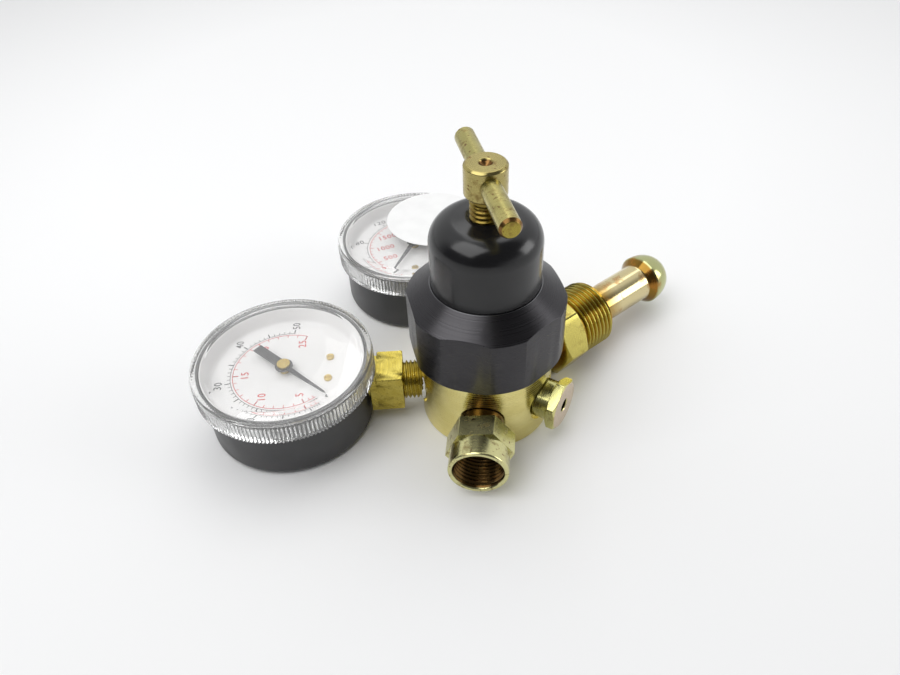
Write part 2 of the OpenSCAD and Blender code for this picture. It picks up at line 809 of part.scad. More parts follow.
module gaugeLens() {
    edge = 0.4;
    in_r = case_r + fit_clr * 2;
    color(clearPlastic) turned([
        [in_r, lens_bottom], [lens_r - edge, lens_bottom], [lens_r, lens_bottom + edge],
        [lens_r, lens_top - edge], [lens_r - edge, lens_top], [bevel_d / 2, lens_top],
        [window_d / 2, window_top], [0, window_top], [0, window_under],
        [window_d / 2 - 0.6, window_under], [in_r - 0.6, case_depth + touch_gap],
        [in_r, case_depth + touch_gap]
    ]);
}

module gaugeDial() {
    flat = dial_flat_d / 2;
    rim = dial_d / 2;
    color(white) difference() {
        turned([
            [0, dial_h - dial_t], [flat, dial_h - dial_t], [rim, dial_h - dial_t + dial_rim],
            [rim, dial_h + dial_rim], [rim - 0.3, dial_h + dial_rim], [flat - 0.2, dial_h], [0, dial_h]
        ]);
        translate([0, 0, dial_h - 1]) cylinder(r = 1.6, h = 2);
        for (side = [-1, 1]) translate([post_x, side * post_y, dial_h - 1])
            cylinder(r = dial_screw_r + fit_clr, h = 2);
    }
}

module gaugeDialScrews() {
    color(rawBrass) for (side = [-1, 1]) translate([post_x, side * post_y, 0]) {
        translate([0, 0, dial_h - dial_screw_len]) cylinder(r = dial_screw_r, h = dial_screw_len + 0.1);
        translate([0, 0, dial_h]) difference() {
            cylinder(r = 1.35, h = 0.7);
            translate([-2, -0.2, 0.4]) cube([4, 0.4, 1]);
        }
    }
}

// Flat blade: a broad tail, a round hub and a tapering point along +X
module gaugePointer() {
    color(blackMetal) rotate([0, 0, pointer_az]) translate([0, 0, pointer_z]) difference() {
        linear_extrude(pointer_t) union() {
            polygon([
                [-tail_len, -tail_w / 2], [-2.4, -tail_w / 2], [2.4, -0.9], [pointer_len - 1, -0.3],
                [pointer_len, 0], [pointer_len - 1, 0.3], [2.4, 0.9], [-2.4, tail_w / 2],
                [-tail_len, tail_w / 2]
            ]);
            circle(r = 3);
        }
        translate([0, 0, -1]) cylinder(r = arbor_d / 2 + fit_clr, h = 2);
    }
}

// Four corners of a straight-sided gear tooth centred at the angle a
function toothAt(r, teeth, a) =
    let (root = r - tooth_drop, tip = r + tooth_rise, wide = 83 / teeth, narrow = 32 / teeth)
    [[root, a - wide], [tip, a - narrow], [tip, a + narrow], [root, a + wide]];

// A point given as radius and angle
function polarPoint(p) = [p[0] * cos(p[1]), p[0] * sin(p[1])];

module gaugeArbor() {
    foot_z = socket_top + touch_gap;
    boss_z = pointer_z + pointer_t + hub_gap;
    bush_z = dial_h + 0.2;
    half_pitch = 180 / pinion_teeth;
    color(rawBrass) {
        translate([0, 0, foot_z]) cylinder(d = arbor_d, h = boss_z + 0.5 - foot_z);
        translate([0, 0, gear_z]) linear_extrude(gear_t) polygon([
            for (k = [0 : pinion_teeth - 1])
                each [for (p = toothAt(pinion_r, pinion_teeth, half_pitch * (2 * k + 1))) polarPoint(p)]
        ]);
        translate([0, 0, bush_z]) cylinder(r = 1.75, h = 1);
        translate([0, 0, bush_z]) cylinder(r = 1.2, h = pointer_z - hub_gap - bush_z);
        translate([0, 0, boss_z]) cylinder(r = 2.2, h = 0.9);
    }
}

// The sector swings about its pivot; the middle tooth at rest meshes with the pinion
module gaugeSector(travel) {
    step = 360 / sector_teeth;
    spare = 3;
    last = ceil(travel / gear_ratio / step) + spare;
    foot_z = socket_top + touch_gap;
    pivot_top = upper_plate_z + plate_thickness + 0.3;
    color(rawBrass) translate([pivot_x, 0, 0]) {
        translate([0, 0, gear_z]) linear_extrude(gear_t) difference() {
            union() {
                rotate(180) polygon(concat(
                    [for (k = [-last : spare])
                        each [for (p = toothAt(sector_r, sector_teeth, step * k)) polarPoint(p)]],
                    [polarPoint([1, step * spare + 90]), polarPoint([1, -step * last - 90])]
                ));
                circle(r = 1.7);
                rotate(tail_az) translate([0, -1.1]) square([tail_r, 2.2]);
                rotate(tail_az) translate([tail_r, 0]) circle(r = 1.2);
            }
            rotate(tail_az) translate([tail_r, 0]) circle(r = 0.5 + fit_clr);
        }
        translate([0, 0, foot_z]) cylinder(r = pivot_pin_r, h = pivot_top - foot_z);
    }
}

module gaugeLink() {
    run = tip_pin - tail_pin;
    length = norm(run);
    color(steel) translate([tail_pin[0], tail_pin[1], 0]) rotate([0, 0, atan2(run[1], run[0])]) {
        translate([0, 0, link_z]) linear_extrude(link_t) union() {
            circle(r = 1.1);
            translate([0, -0.7]) square([length, 1.4]);
            translate([length, 0]) circle(r = 1.1);
        }
        translate([0, 0, gear_z]) cylinder(r = 0.5, h = link_z - gear_z + 0.1);
    }
}

module gaugeMovement() {
    nose = 3.5;
    side = sector_r + 0.6;
    foot_x = post_x + post_r + 2;
    foot_y = post_y + post_r + 0.5;
    outline = [
        [-nose, -nose], [nose / 2, -side], [foot_x, -foot_y],
        [foot_x, foot_y], [nose / 2, side], [-nose, nose]
    ];
    pillars = [[nose, side - 1.8], [nose, 1.8 - side], [foot_x - 1.6, 1.8 - foot_y]];
    upper_top = upper_plate_z + plate_thickness;
    color(brass) difference() {
        union() {
            for (z = [socket_top, upper_plate_z])
                translate([0, 0, z]) linear_extrude(plate_thickness) polygon(outline);
            for (p = pillars)
                translate([p[0], p[1], socket_top]) cylinder(r = 1.1, h = upper_top - socket_top);
            for (side = [-1, 1]) translate([post_x, side * post_y, upper_plate_z])
                cylinder(r = post_r, h = dial_h - dial_t - upper_plate_z);
        }
        translate([0, 0, socket_top - 1]) cylinder(r = arbor_d / 2 + fit_clr, h = upper_top - socket_top + 2);
        translate([pivot_x, 0, socket_top - 1])
            cylinder(r = pivot_pin_r + fit_clr, h = upper_top - socket_top + 2);
        for (side = [-1, 1]) translate([post_x, side * post_y, upper_plate_z - 1])
            cylinder(r = dial_screw_r + fit_clr, h = dial_h - upper_plate_z + 1);
    }
}

// A flat tube bent round the case, open to the socket at one end and shut by a block at its tip
module gaugeTube() {
    wall = 0.5;
    color(brass) difference() {
        union() {
            rotate(tip_az) rotate_extrude(angle = tube_sweep)
                translate([tube_r - tube_w / 2, tip_z]) square([tube_w, tube_h]);
            rotate(tip_az - tip_span) rotate_extrude(angle = tip_span + 0.5)
                translate([tube_r - 1.7, tip_z]) square([3.4, link_z - loose_gap - tip_z]);
        }
        rotate(tip_az + 1) rotate_extrude(angle = tube_sweep)
            translate([tube_r - tube_w / 2 + wall, tip_z + wall]) square([tube_w - 2 * wall, tube_h - 2 * wall]);
        translate([socket_start, -block_w / 2 - 0.02, 0])
            cube([socket_end - socket_start + 2, block_w + 0.04, lens_top]);
    }
}

// Square wrench block, pipe thread and neck outside; the tube's socket inside
module gaugeStem(reach, thread_show) {
    block_end = reach - body_r - thread_show;
    block_len = block_end - block_start;
    thread_len = reach - port_depth_r - gallery - block_end;
    corner = block_w / sqrt(2) - 0.25;
    bore_r = 1.6;
    gallery_r = 0.7;
    drop_x = neck_start + 2;
    side_x = sqrt(tube_r * tube_r - block_w * block_w / 4);
    edge = 0.3;
    thread_edge = 0.8;
    color(rawBrass) difference() {
        union() {
            translate([socket_start, -block_w / 2, socket_bottom])
                cube([socket_end - socket_start, block_w, socket_top - socket_bottom]);
            translate([0, 0, port_h]) rotate([0, 90, 0]) {
                translate([0, 0, neck_start]) cylinder(d = stem_neck_d, h = block_start - neck_start + 0.5);
                translate([0, 0, block_end]) turned([
                    [0, -1], [stem_thread_d / 2, -1], [stem_thread_d / 2, thread_len - thread_edge],
                    [stem_thread_d / 2 - thread_edge, thread_len], [0, thread_len]
                ]);
            }
            difference() {
                translate([block_start, 0, port_h]) rotate([0, 90, 0]) intersection() {
                    translate([-block_w / 2, -block_w / 2, 0]) cube([block_w, block_w, block_len]);
                    turned([
                        [0, 0], [corner - edge, 0], [corner, edge], [corner, block_len - edge],
                        [corner - edge, block_len], [0, block_len]
                    ]);
                }
                translate([0, 0, lens_bottom - loose_gap]) cylinder(r = lens_r + loose_gap, h = lens_skirt);
            }
        }
        translate([drop_x, 0, port_h]) rotate([0, 90, 0]) cylinder(r = bore_r, h = reach);
        translate([drop_x, 0, gallery_z]) cylinder(r = gallery_r, h = port_h - gallery_z);
        translate([side_x, 0, gallery_z]) rotate([0, 90, 0]) cylinder(r = gallery_r, h = drop_x - side_x);
        translate([side_x, 0, gallery_z]) rotate([90, 0, 0]) cylinder(r = gallery_r, h = block_w);
    }
}

module flow_case() onGauge(flow_az, flow_reach) gaugeCase();
module flow_lens() onGauge(flow_az, flow_reach) gaugeLens();
module flow_dial() onGauge(flow_az, flow_reach) gaugeDial();
module flow_dial_screws() onGauge(flow_az, flow_reach) gaugeDialScrews();
module flow_pointer() onGauge(flow_az, flow_reach) gaugePointer();
module flow_arbor() onGauge(flow_az, flow_reach) gaugeArbor();
module flow_movement() onGauge(flow_az, flow_reach) gaugeMovement();
module flow_sector() onGauge(flow_az, flow_reach) gaugeSector(flow_travel);
module flow_link() onGauge(flow_az, flow_reach) gaugeLink();
module flow_tube() onGauge(flow_az, flow_reach) gaugeTube();
module flow_stem() onGauge(flow_az, flow_reach) gaugeStem(flow_reach, flow_thread_show);

module cylinder_case() onGauge(cylinder_az, cylinder_reach) gaugeCase();
module cylinder_lens() onGauge(cylinder_az, cylinder_reach) gaugeLens();
module cylinder_dial() onGauge(cylinder_az, cylinder_reach) gaugeDial();
module cylinder_dial_screws() onGauge(cylinder_az, cylinder_reach) gaugeDialScrews();
module cylinder_pointer() onGauge(cylinder_az, cylinder_reach) gaugePointer();
module cylinder_arbor() onGauge(cylinder_az, cylinder_reach) gaugeArbor();
module cylinder_movement() onGauge(cylinder_az, cylinder_reach) gaugeMovement();
module cylinder_sector() onGauge(cylinder_az, cylinder_reach) gaugeSector(cylinder_travel);
module cylinder_link() onGauge(cylinder_az, cylinder_reach) gaugeLink();
module cylinder_tube() onGauge(cylinder_az, cylinder_reach) gaugeTube();
module cylinder_stem() onGauge(cylinder_az, cylinder_reach) gaugeStem(cylinder_reach, cylinder_thread_show);

// A wrap of sealing tape on the flow gauge's thread, where it enters the body
module thread_tape() {
    color(white) onPort(flow_az) translate([0, 0, collar_start]) difference() {
        cylinder(d = tape_d, h = tape_w);
        translate([0, 0, -1]) cylinder(r = stem_thread_d / 2 + 0.02, h = tape_w + 2);
    }
}

// A plain round paper sticker lying on the cylinder gauge's window
module round_sticker() {
    centre = cylinder_reach * [cos(cylinder_az), sin(cylinder_az)];
    color(white) translate([centre[0] + sticker_x, centre[1] + sticker_y, window_top + 0.02])
        cylinder(d = sticker_d, h = sticker_t);
}

// ---------- assembly ----------

regulator_body();
valve_seat();
valve_poppet();
valve_spring();
diaphragm();
diaphragm_plate();
slip_ring();
bonnet();
ring_nut();
adjusting_spring();
spring_button();
adjusting_screw();
tee_bar();
inlet_nipple();
inlet_nut();
inlet_filter();
outlet_fitting();
metering_orifice();
relief_body();
relief_poppet();
relief_spring();
flow_case();
flow_lens();
flow_dial();
flow_dial_screws();
flow_pointer();
flow_arbor();
flow_movement();
flow_sector();
flow_link();
flow_tube();
flow_stem();
cylinder_case();
cylinder_lens();
cylinder_dial();
cylinder_dial_screws();
cylinder_pointer();
cylinder_arbor();
cylinder_movement();
cylinder_sector();
cylinder_link();
cylinder_tube();
cylinder_stem();
thread_tape();
round_sticker();
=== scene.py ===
import math

import bmesh
import bpy
import numpy as np
from mathutils import Matrix, Vector


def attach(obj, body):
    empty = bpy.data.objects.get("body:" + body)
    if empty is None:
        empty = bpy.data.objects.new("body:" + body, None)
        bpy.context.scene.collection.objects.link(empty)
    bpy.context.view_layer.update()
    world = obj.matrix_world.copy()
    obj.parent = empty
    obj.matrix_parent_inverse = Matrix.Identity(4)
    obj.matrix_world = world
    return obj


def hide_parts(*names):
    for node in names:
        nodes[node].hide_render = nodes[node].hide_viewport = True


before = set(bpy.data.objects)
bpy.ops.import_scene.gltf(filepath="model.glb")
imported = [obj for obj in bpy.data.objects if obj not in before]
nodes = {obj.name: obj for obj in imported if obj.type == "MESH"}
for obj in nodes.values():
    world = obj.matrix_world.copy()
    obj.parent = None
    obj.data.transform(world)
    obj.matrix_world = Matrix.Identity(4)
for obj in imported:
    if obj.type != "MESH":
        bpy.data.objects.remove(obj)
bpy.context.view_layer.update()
mm = 0.001
fullTurn = 2 * np.pi
scene = bpy.context.scene
print("frame loaded:", len(nodes), "nodes")


# lengths are in millimetres and azimuths in degrees round the body; a spot is an origin with three axes
portHeight = 13.0
ports = {"inlet": 37, "outlet": -97, "relief": -32.5, "flow": 181, "cylinder": 110}
gauges = {"flow": {"reach": 68.15, "threadEnd": 54.15}, "cylinder": {"reach": 71.75, "threadEnd": 57.75}}
upright = (np.zeros(3), np.eye(3))


def portSpot(azimuth, height=portHeight):
    # a port's own axes: z points out of the body along the azimuth, x points up
    a = math.radians(azimuth)
    axes = [[0, 0, 1], [math.sin(a), -math.cos(a), 0], [math.cos(a), math.sin(a), 0]]
    return np.array([0, 0, height]), np.array(axes)


def gaugeSpot(name):
    # a gauge's own axes: x points back at the body, z points up out of the dial
    a = math.radians(ports[name])
    out = np.array([math.cos(a), math.sin(a), 0])
    axes = [-out, [math.sin(a), -math.cos(a), 0], [0, 0, 1]]
    return out * gauges[name]["reach"], np.array(axes)


def softCorners(profile, radius, steps=5, closed=False):
    # each corner p becomes a short curve between points a and b on its two sides,
    # (1-t)^2 a + 2t(1-t) p + t^2 b, cut short where a side has less room than the radius
    p = np.asarray(profile, float)
    before, after = np.roll(p, 1, 0), np.roll(p, -1, 0)
    if not closed:
        before[0], after[-1] = p[0], p[-1]
    sideA, sideB = before - p, after - p
    lengthA = np.linalg.norm(sideA, axis=-1, keepdims=True)
    lengthB = np.linalg.norm(sideB, axis=-1, keepdims=True)
    reach = np.reshape(np.asarray(radius, float), (-1,) + (1,) * (p.ndim - 1))
    cut = np.minimum(reach, 0.45 * np.minimum(lengthA, lengthB))
    a = p + sideA / np.maximum(lengthA, 1e-9) * cut
    b = p + sideB / np.maximum(lengthB, 1e-9) * cut
    t = np.linspace(0, 1, steps).reshape((1, -1) + (1,) * (p.ndim - 1))
    curve = (1 - t) ** 2 * a[:, None] + 2 * t * (1 - t) * p[:, None] + t ** 2 * b[:, None]
    return curve.reshape((-1,) + p.shape[1:])


def turned(profile, angles=96, closed=False):
    # a profile of radius and height carried round the axis: x = r cos a, y = r sin a, z = h
    # the profile may differ from one angle to the next
    a = np.arange(angles) * fullTurn / angles if np.isscalar(angles) else angles
    p = np.asarray(profile, float)
    p = p[:, None, :] if p.ndim == 2 else p
    r, h = p[..., 0], p[..., 1]
    grid = np.stack([r * np.cos(a), r * np.sin(a), h + 0 * a], -1)
    return grid, closed, True


def oblong(left, right, low, high):
    # the four corners of a rectangle
    return [(left, low), (right, low), (right, high), (left, high)]


def plug(radius, low, high, angles):
    # a short solid round bar
    return turned(softCorners(oblong(0, radius, low, high), 0.2), angles)


def hollow(profile, edge=0.15, angles=96):
    # a closed profile with softened edges, carried round the axis
    return turned(softCorners(profile, edge, 4, True), angles, True)


def barAngles(sides, flatTo, cornerSteps, flatSteps=9):
    # angles round a faceted bar, with one exactly where each flat stops and its corner starts
    flat = np.linspace(-flatTo, flatTo, flatSteps)
    corner = np.linspace(flatTo, fullTurn / sides - flatTo, cornerSteps)[1:-1]
    sector = np.concatenate([flat, corner])
    return (np.arange(sides)[:, None] * fullTurn / sides + sector).ravel()


def barShell(bar):
    # a faceted bar: distance to a flat over the cosine of the angle from its middle, kept within the corner
    # radius. Each end is cut by a cone that starts at the face radius and falls by slope times the rest.
    # Under and over are a hole's wall, as radii and heights from inside to each face
    sides, half, corner = bar.get("sides", 6), bar["across"] / 2, bar["corner"]
    a = barAngles(sides, math.acos(min(half / corner, 1)), bar.get("cornerSteps", 5))
    sector = fullTurn / sides
    fromFlat = (a + sector / 2) % sector - sector / 2
    rim = np.minimum(half / np.cos(fromFlat), corner)
    face, slope = bar.get("face", corner), bar.get("slope", math.tan(math.pi / 6))
    faceLow = np.minimum(rim, bar.get("faceLow", face))
    faceHigh = np.minimum(rim, bar.get("faceHigh", face))
    low, high = bar["low"], bar["high"]

    def row(r, h):
        return np.stack([r + 0 * a, h + 0 * a], -1)

    rows = [row(r, h) for r, h in bar.get("under", [(0, low)])]
    rows += [row(faceLow, low), row(rim, low + (rim - faceLow) * slope)]
    rows += [row(rim, high - (rim - faceHigh) * bar.get("slopeHigh", slope)), row(faceHigh, high)]
    rows += [row(r, h) for r, h in bar.get("over", [(0, high)])]
    closed = "under" in bar
    return turned(softCorners(np.array(rows), bar["soft"], 4, closed), a + bar.get("turn", 0), closed)


def threadShell(thread):
    # a screw thread: radius = root + depth * ridge(phase) * fade, where the phase climbs with the height
    # and drops by one a turn, so that each row of the grid is one line of the helix from end to end. The
    # ridge is the thread's form over one pitch: a flat root, a flank, a blunt crest and a flank
    root, crest, pitch = thread["root"], thread["crest"], thread["pitch"]
    low, high, core = thread["low"], thread["high"], thread.get("core", 0)
    phases = np.array([0.0, 0.07, 0.41, 0.46, 0.54, 0.59, 0.93])
    ridge = np.array([0.0, 0.0, 0.94, 1.0, 1.0, 0.94, 0.0])
    turns = int((high - low) / pitch) + 2
    start = low - pitch + (np.arange(turns)[:, None] + phases).ravel() * pitch
    ridge = np.tile(ridge, turns)
    a = np.linspace(0, fullTurn, thread.get("steps", 72) + 1)
    h = np.clip(start[:, None] + pitch * a / fullTurn, low, high)
    fade = np.clip((h - low) / thread["fadeLow"], 0, 1) * np.clip((high - h) / thread["fadeHigh"], 0, 1)
    r = root + (crest - root) * ridge[:, None] * fade
    end = np.full((1, len(a)), float(core))
    r = np.concatenate([end, r, end])
    h = np.concatenate([end * 0 + low, h, end * 0 + high])
    return np.stack([r * np.cos(a), r * np.sin(a), h], -1), core > 0, False


def squareBar(x, y, z, edge):
    # a rectangular bar between two values of x, y and z; its ends draw in by the edge and close at the middle
    s = softCorners(oblong(*x, *y), edge, 4, True)
    middle, size = s.mean(0), np.abs(s - s.mean(0)).max()
    grow = np.array([0, 1 - edge / size, 1, 1, 1 - edge / size, 0])
    h = np.array([z[0], z[0], z[0] + edge, z[1] - edge, z[1], z[1]])
    points = middle + (s - middle) * grow[:, None, None]
    heights = np.broadcast_to(h[:, None, None], points.shape[:2] + (1,))
    return np.concatenate([points, heights], -1), False, True


def gridFaces(rows, cols, closeRows, closeCols):
    # four-sided faces between neighbouring lines; a closed direction joins its last line to its first
    i, j = np.meshgrid(np.arange(rows - (not closeRows)), np.arange(cols - (not closeCols)), indexing="ij")
    iNext, jNext = (i + 1) % rows, (j + 1) % cols
    quads = np.stack([i * cols + j, i * cols + jNext, iNext * cols + jNext, iNext * cols + j], -1)
    return quads.reshape(-1, 4)


def addObject(name, data):
    # a new object in the scene
    thing = bpy.data.objects.new(name, data)
    scene.collection.objects.link(thing)
    return thing


def makePiece(name, surfaces, material, replaced=(), spot=upright, sharp=28, body="body",
              blocks=()):
    # surfaces are grids of points in millimetres, in the spot's own axes; blocks are points with their faces
    grids = [(g.reshape(-1, 3), gridFaces(*g.shape[:2], *closed).tolist()) for g, *closed in surfaces]
    points, faces, count = [], [], 0
    for blockPoints, blockFaces in [*grids, *blocks]:
        points.append(blockPoints)
        faces += [[i + count for i in face] for face in blockFaces]
        count += len(blockPoints)
    # a point's three local numbers, each times its own axis, are added to the spot's origin
    placed = spot[0] + np.concatenate(points) @ spot[1]
    mesh = bpy.data.meshes.new(name)
    mesh.from_pydata((placed * mm).tolist(), [], faces)
    shape = bmesh.new()
    shape.from_mesh(mesh)
    bmesh.ops.remove_doubles(shape, verts=shape.verts, dist=0.002 * mm)
    bmesh.ops.dissolve_degenerate(shape, edges=shape.edges, dist=0.001 * mm)
    bmesh.ops.recalc_face_normals(shape, faces=shape.faces)
    shape.to_mesh(mesh)
    shape.free()
    mesh.polygons.foreach_set("use_smooth", np.ones(len(mesh.polygons), bool))
    mesh.set_sharp_from_angle(angle=math.radians(sharp))
    mesh.materials.append(material)
    piece = addObject(name, mesh)
    # flat faces keep a flat look beside their rounded edges
    weighted = piece.modifiers.new("evenNormals", "WEIGHTED_NORMAL")
    weighted.keep_sharp = True
    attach(piece, body)
    if replaced:
        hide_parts(*replaced)


def linear(hexCode):
    # sRGB to linear light: c / 12.92 up to 0.04045, ((c + 0.055) / 1.055) ^ 2.4 above it
    c = np.array([int(hexCode[i:i + 2], 16) for i in (1, 3, 5)]) / 255
    return (*np.where(c <= 0.04045, c / 12.92, ((c + 0.055) / 1.055) ** 2.4).tolist(), 1.0)


def addNode(tree, kind, inputs=None, **settings):
    # a node with its settings; an input is a plain value, a hex colour, or the socket that it is linked to
    node = tree.nodes.new("ShaderNode" + kind)
    for key, value in settings.items():
        setattr(node, key, value)
    for key, value in (inputs or {}).items():
        if isinstance(value, bpy.types.NodeSocket):
            tree.links.new(value, node.inputs[key])
        else:
            node.inputs[key].default_value = linear(value) if isinstance(value, str) else value
    return node


def newFinish(name, values):
    # an empty material with one Principled shader, its plain values set on the shader itself
    material = bpy.data.materials.new(name)
    material.use_nodes = True
    tree = material.node_tree
    tree.nodes.clear()
    shader = addNode(tree, "BsdfPrincipled", values)
    addNode(tree, "OutputMaterial", {"Surface": shader.outputs[0]})
    return material, tree, shader, addNode(tree, "TexCoord").outputs["Object"]


def patches(tree, place, size, low, high, start=0.35, end=0.65, detail=3.0, rough=0.5):
    # cloudy noise, its patches size millimetres wide: low where it is under start, high where it is past end
    noise = addNode(tree, "TexNoise",
                    {"Vector": place, "Scale": 1 / (size * mm), "Detail": detail, "Roughness": rough})
    return addNode(tree, "MapRange", {0: noise.outputs["Fac"], 1: start, 2: end, 3: low, 4: high}).outputs[0]


def finishSurface(tree, shader, height, depth, links):
    # the last links of a finish: fine relief, its depth in millimetres, and what else varies over the surface
    relief = addNode(tree, "Bump", {"Strength": 1.0, "Distance": depth * mm, "Height": height})
    for key, socket in {"Normal": relief.outputs[0], **links}.items():
        tree.links.new(socket, shader.inputs[key])


def layered(tree, colour, layers):
    # a colour with others laid over it in turn, each by its own share
    for share, over in layers:
        colour = addNode(tree, "Mix", {0: share, 6: colour, 7: over}, data_type="RGBA").outputs[2]
    return colour


def latheMarks(tree, place, spot, width):
    # tool marks: noise along one number, the distance along the axis plus 1.6 times the distance from it. It
    # runs in rings on sides, cones and faced ends alike. Also gives the marks' direction and both distances
    origin, axis = tuple(spot[0] * mm), tuple(spot[1][2])
    rel = addNode(tree, "VectorMath", {0: place, 1: origin}, operation="SUBTRACT").outputs[0]
    along = addNode(tree, "VectorMath", {0: rel, 1: axis}, operation="DOT_PRODUCT").outputs[1]
    onAxis = addNode(tree, "VectorMath", {0: axis, "Scale": along}, operation="SCALE").outputs[0]
    off = addNode(tree, "VectorMath", {0: rel, 1: onAxis}, operation="SUBTRACT").outputs[0]
    away = addNode(tree, "VectorMath", {0: off}, operation="LENGTH").outputs[1]
    total = addNode(tree, "Math", {0: away, 1: 1.6, 2: along}, operation="MULTIPLY_ADD").outputs[0]
    marks = addNode(tree, "TexNoise", {"W": total, "Scale": 1 / (width * mm), "Detail": 3.0},
                    noise_dimensions="1D").outputs["Fac"]
    direction = addNode(tree, "VectorMath", {0: axis, 1: rel}, operation="CROSS_PRODUCT").outputs[0]
    return marks, direction, {"along": along, "away": away}


def bareMetal(name, spot, finish):
    # machined metal: mirrors its surroundings in its own colours, smeared by fine rings from the tool, with
    # darker blotches where hands and flux have tarnished it (colour, amount, the noise they start from) and a
    # few spots (colour, amount, size). Each step changes the colour past a distance along the axis, or away
    # from it; some steps are painted shade in holes and thread roots, one a painted highlight on an edge. The
    # smear is a quarter turn off the rings, so highlights run across them
    material, tree, shader, place = newFinish(name, {
        "Metallic": 1.0, "Anisotropic": finish["smear"], "Anisotropic Rotation": 0.25})
    marks, direction, distances = latheMarks(tree, place, spot, finish["marks"])
    colour, second = finish["colours"]
    tarnish, amount, start = finish["tarnish"]
    blotch = patches(tree, place, finish["blotch"], 0, amount, start, start + 0.12, detail=5.0, rough=0.65)
    layers = [(patches(tree, place, finish["patch"], 0, 1), second)]
    for measure, start, fade, changed in finish.get("steps", []):
        past = addNode(tree, "MapRange", {0: distances[measure], 1: start * mm, 2: (start + fade) * mm})
        layers.append((past.outputs[0], changed))
    layers.append((blotch, tarnish))
    if "spots" in finish:
        speck, amount, size = finish["spots"]
        layers.append((patches(tree, place, size, 0, amount, start=0.64, end=0.7, detail=2.0), speck))
    low, high = finish["rough"]
    dulling = 0.22
    base = addNode(tree, "MapRange", {0: marks, 1: 0.35, 2: 0.65, 3: low, 4: high}).outputs[0]
    rough = addNode(tree, "Math", {0: blotch, 1: dulling, 2: base}, operation="MULTIPLY_ADD").outputs[0]
    pitSize = finish.get("pits", 0.35) * mm
    pits = addNode(tree, "TexNoise", {"Vector": place, "Scale": 1 / pitSize, "Detail": 2.0})
    relief = addNode(tree, "Math", {0: pits.outputs["Fac"], 1: finish.get("pitShare", 0.35), 2: marks},
                     operation="MULTIPLY_ADD").outputs[0]
    finishSurface(tree, shader, relief, finish["depth"],
                  {"Base Color": layered(tree, colour, layers), "Roughness": rough, "Tangent": direction})
    return material


def coated(name, finish):
    # paint, plating, plastic, rubber or paper over a shape: one body colour that drifts a little, a skin of
    # fine bumps, and dust or handling marks that dull it in patches
    material, tree, shader, place = newFinish(name, {"IOR": 1.5})
    colour, second = finish["colours"]
    layers = [(patches(tree, place, finish["patch"], 0, 1), second)]
    dustSize, handSize = 0.5, 9
    if "dust" in finish:
        dust, amount = finish["dust"]
        layers.append((patches(tree, place, dustSize, 0, amount, start=0.66, end=0.74, detail=2.0), dust))
    dull = patches(tree, place, handSize, *finish["rough"], detail=4.0)
    skin = addNode(tree, "TexNoise", {"Vector": place, "Scale": 1 / (finish["skin"] * mm), "Detail": 2.0})
    finishSurface(tree, shader, skin.outputs["Fac"], finish["depth"],
                  {"Base Color": layered(tree, colour, layers), "Roughness": dull})
    return material


def clearCover(name, finish):
    # moulded polycarbonate: the window is clear and glossy with a faint unevenness, the ribbed skirt below it
    # is milky where the mould was left rough; lamps reach the dial through it
    material, tree, shader, place = newFinish(name, {"IOR": finish["ior"], "Base Color": finish["colour"]})
    height = addNode(tree, "SeparateXYZ", {0: place}).outputs[2]
    low, high = (h * mm for h in finish["milkyTo"])
    clear, milky = (addNode(tree, "MapRange", {0: height, 1: low, 2: high, 3: skirt, 4: window}).outputs[0]
                    for skirt, window in ((finish["skirtClear"], 1.0), (finish["skirtRough"], 0.0)))
    haze = patches(tree, place, finish["haze"], *finish["rough"])
    rough = addNode(tree, "Math", {0: haze, 1: milky}, operation="ADD").outputs[0]
    ripple = addNode(tree, "TexNoise", {"Vector": place, "Scale": 1 / (finish["ripple"] * mm), "Detail": 1.0})
    finishSurface(tree, shader, ripple.outputs["Fac"], finish["depth"],
                  {"Transmission Weight": clear, "Roughness": rough})
    lampRay = addNode(tree, "LightPath").outputs["Is Shadow Ray"]
    through = addNode(tree, "BsdfTransparent", {"Color": finish["lampTint"]}).outputs[0]
    mixed = addNode(tree, "MixShader", {0: lampRay, 1: shader.outputs[0], 2: through})
    tree.links.new(mixed.outputs[0], tree.nodes["Material Output"].inputs["Surface"])
    return material


inletSpot, outletSpot, reliefSpot = (portSpot(ports[n]) for n in ("inlet", "outlet", "relief"))
teeBar = {
    "radius": 3.175, "half": 26.0, "height": 90.25, "azimuth": -79.3, "edge": 1.0, "endRadius": 2.425,
    "waist": 0.006}
barSpot = portSpot(teeBar["azimuth"], teeBar["height"])

# naval brass bar, turned and tumbled: pale gold, satin, rings round the axis that pull reflections upright
bodyBrass = bareMetal("turned_brass", upright, {
    "colours": ("#e8dd98", "#dccf86"), "tarnish": ("#a8944c", 0.2, 0.58), "patch": 9, "blotch": 7,
    "rough": (0.18, 0.28), "marks": 0.35, "depth": 0.01, "smear": 0.6})
# free-cutting brass straight from the bar, never cleaned: strong lemon yellow, with saw and jaw marks
stemFinish = {
    "colours": ("#c4b45c", "#b6a44a"), "tarnish": ("#84722a", 0.5, 0.55), "patch": 5, "blotch": 3,
    "rough": (0.24, 0.38), "marks": 0.8, "depth": 0.012, "smear": 0.1, "spots": ("#7a6420", 0.6, 0.8),
    "pits": 0.5, "pitShare": 1.2}
# machined brass with a warm lacquer: a paler gold on the hexagon and the thread's crests, and painted shade
# below them, a darker olive gold in the thread's roots, the neck and the lip
nutBrass = bareMetal("lacquered_brass", inletSpot, {
    "colours": ("#a8842c", "#9c7c30"), "tarnish": ("#6f5420", 0.45, 0.56), "patch": 6, "blotch": 4,
    "rough": (0.14, 0.26), "marks": 0.3, "depth": 0.008, "smear": 0.4,
    # past the roots' radius the paler gold; inside it the darker olive gold stays as painted shade
    "steps": [("away", 11.2, 0.9, "#c2b562")]})
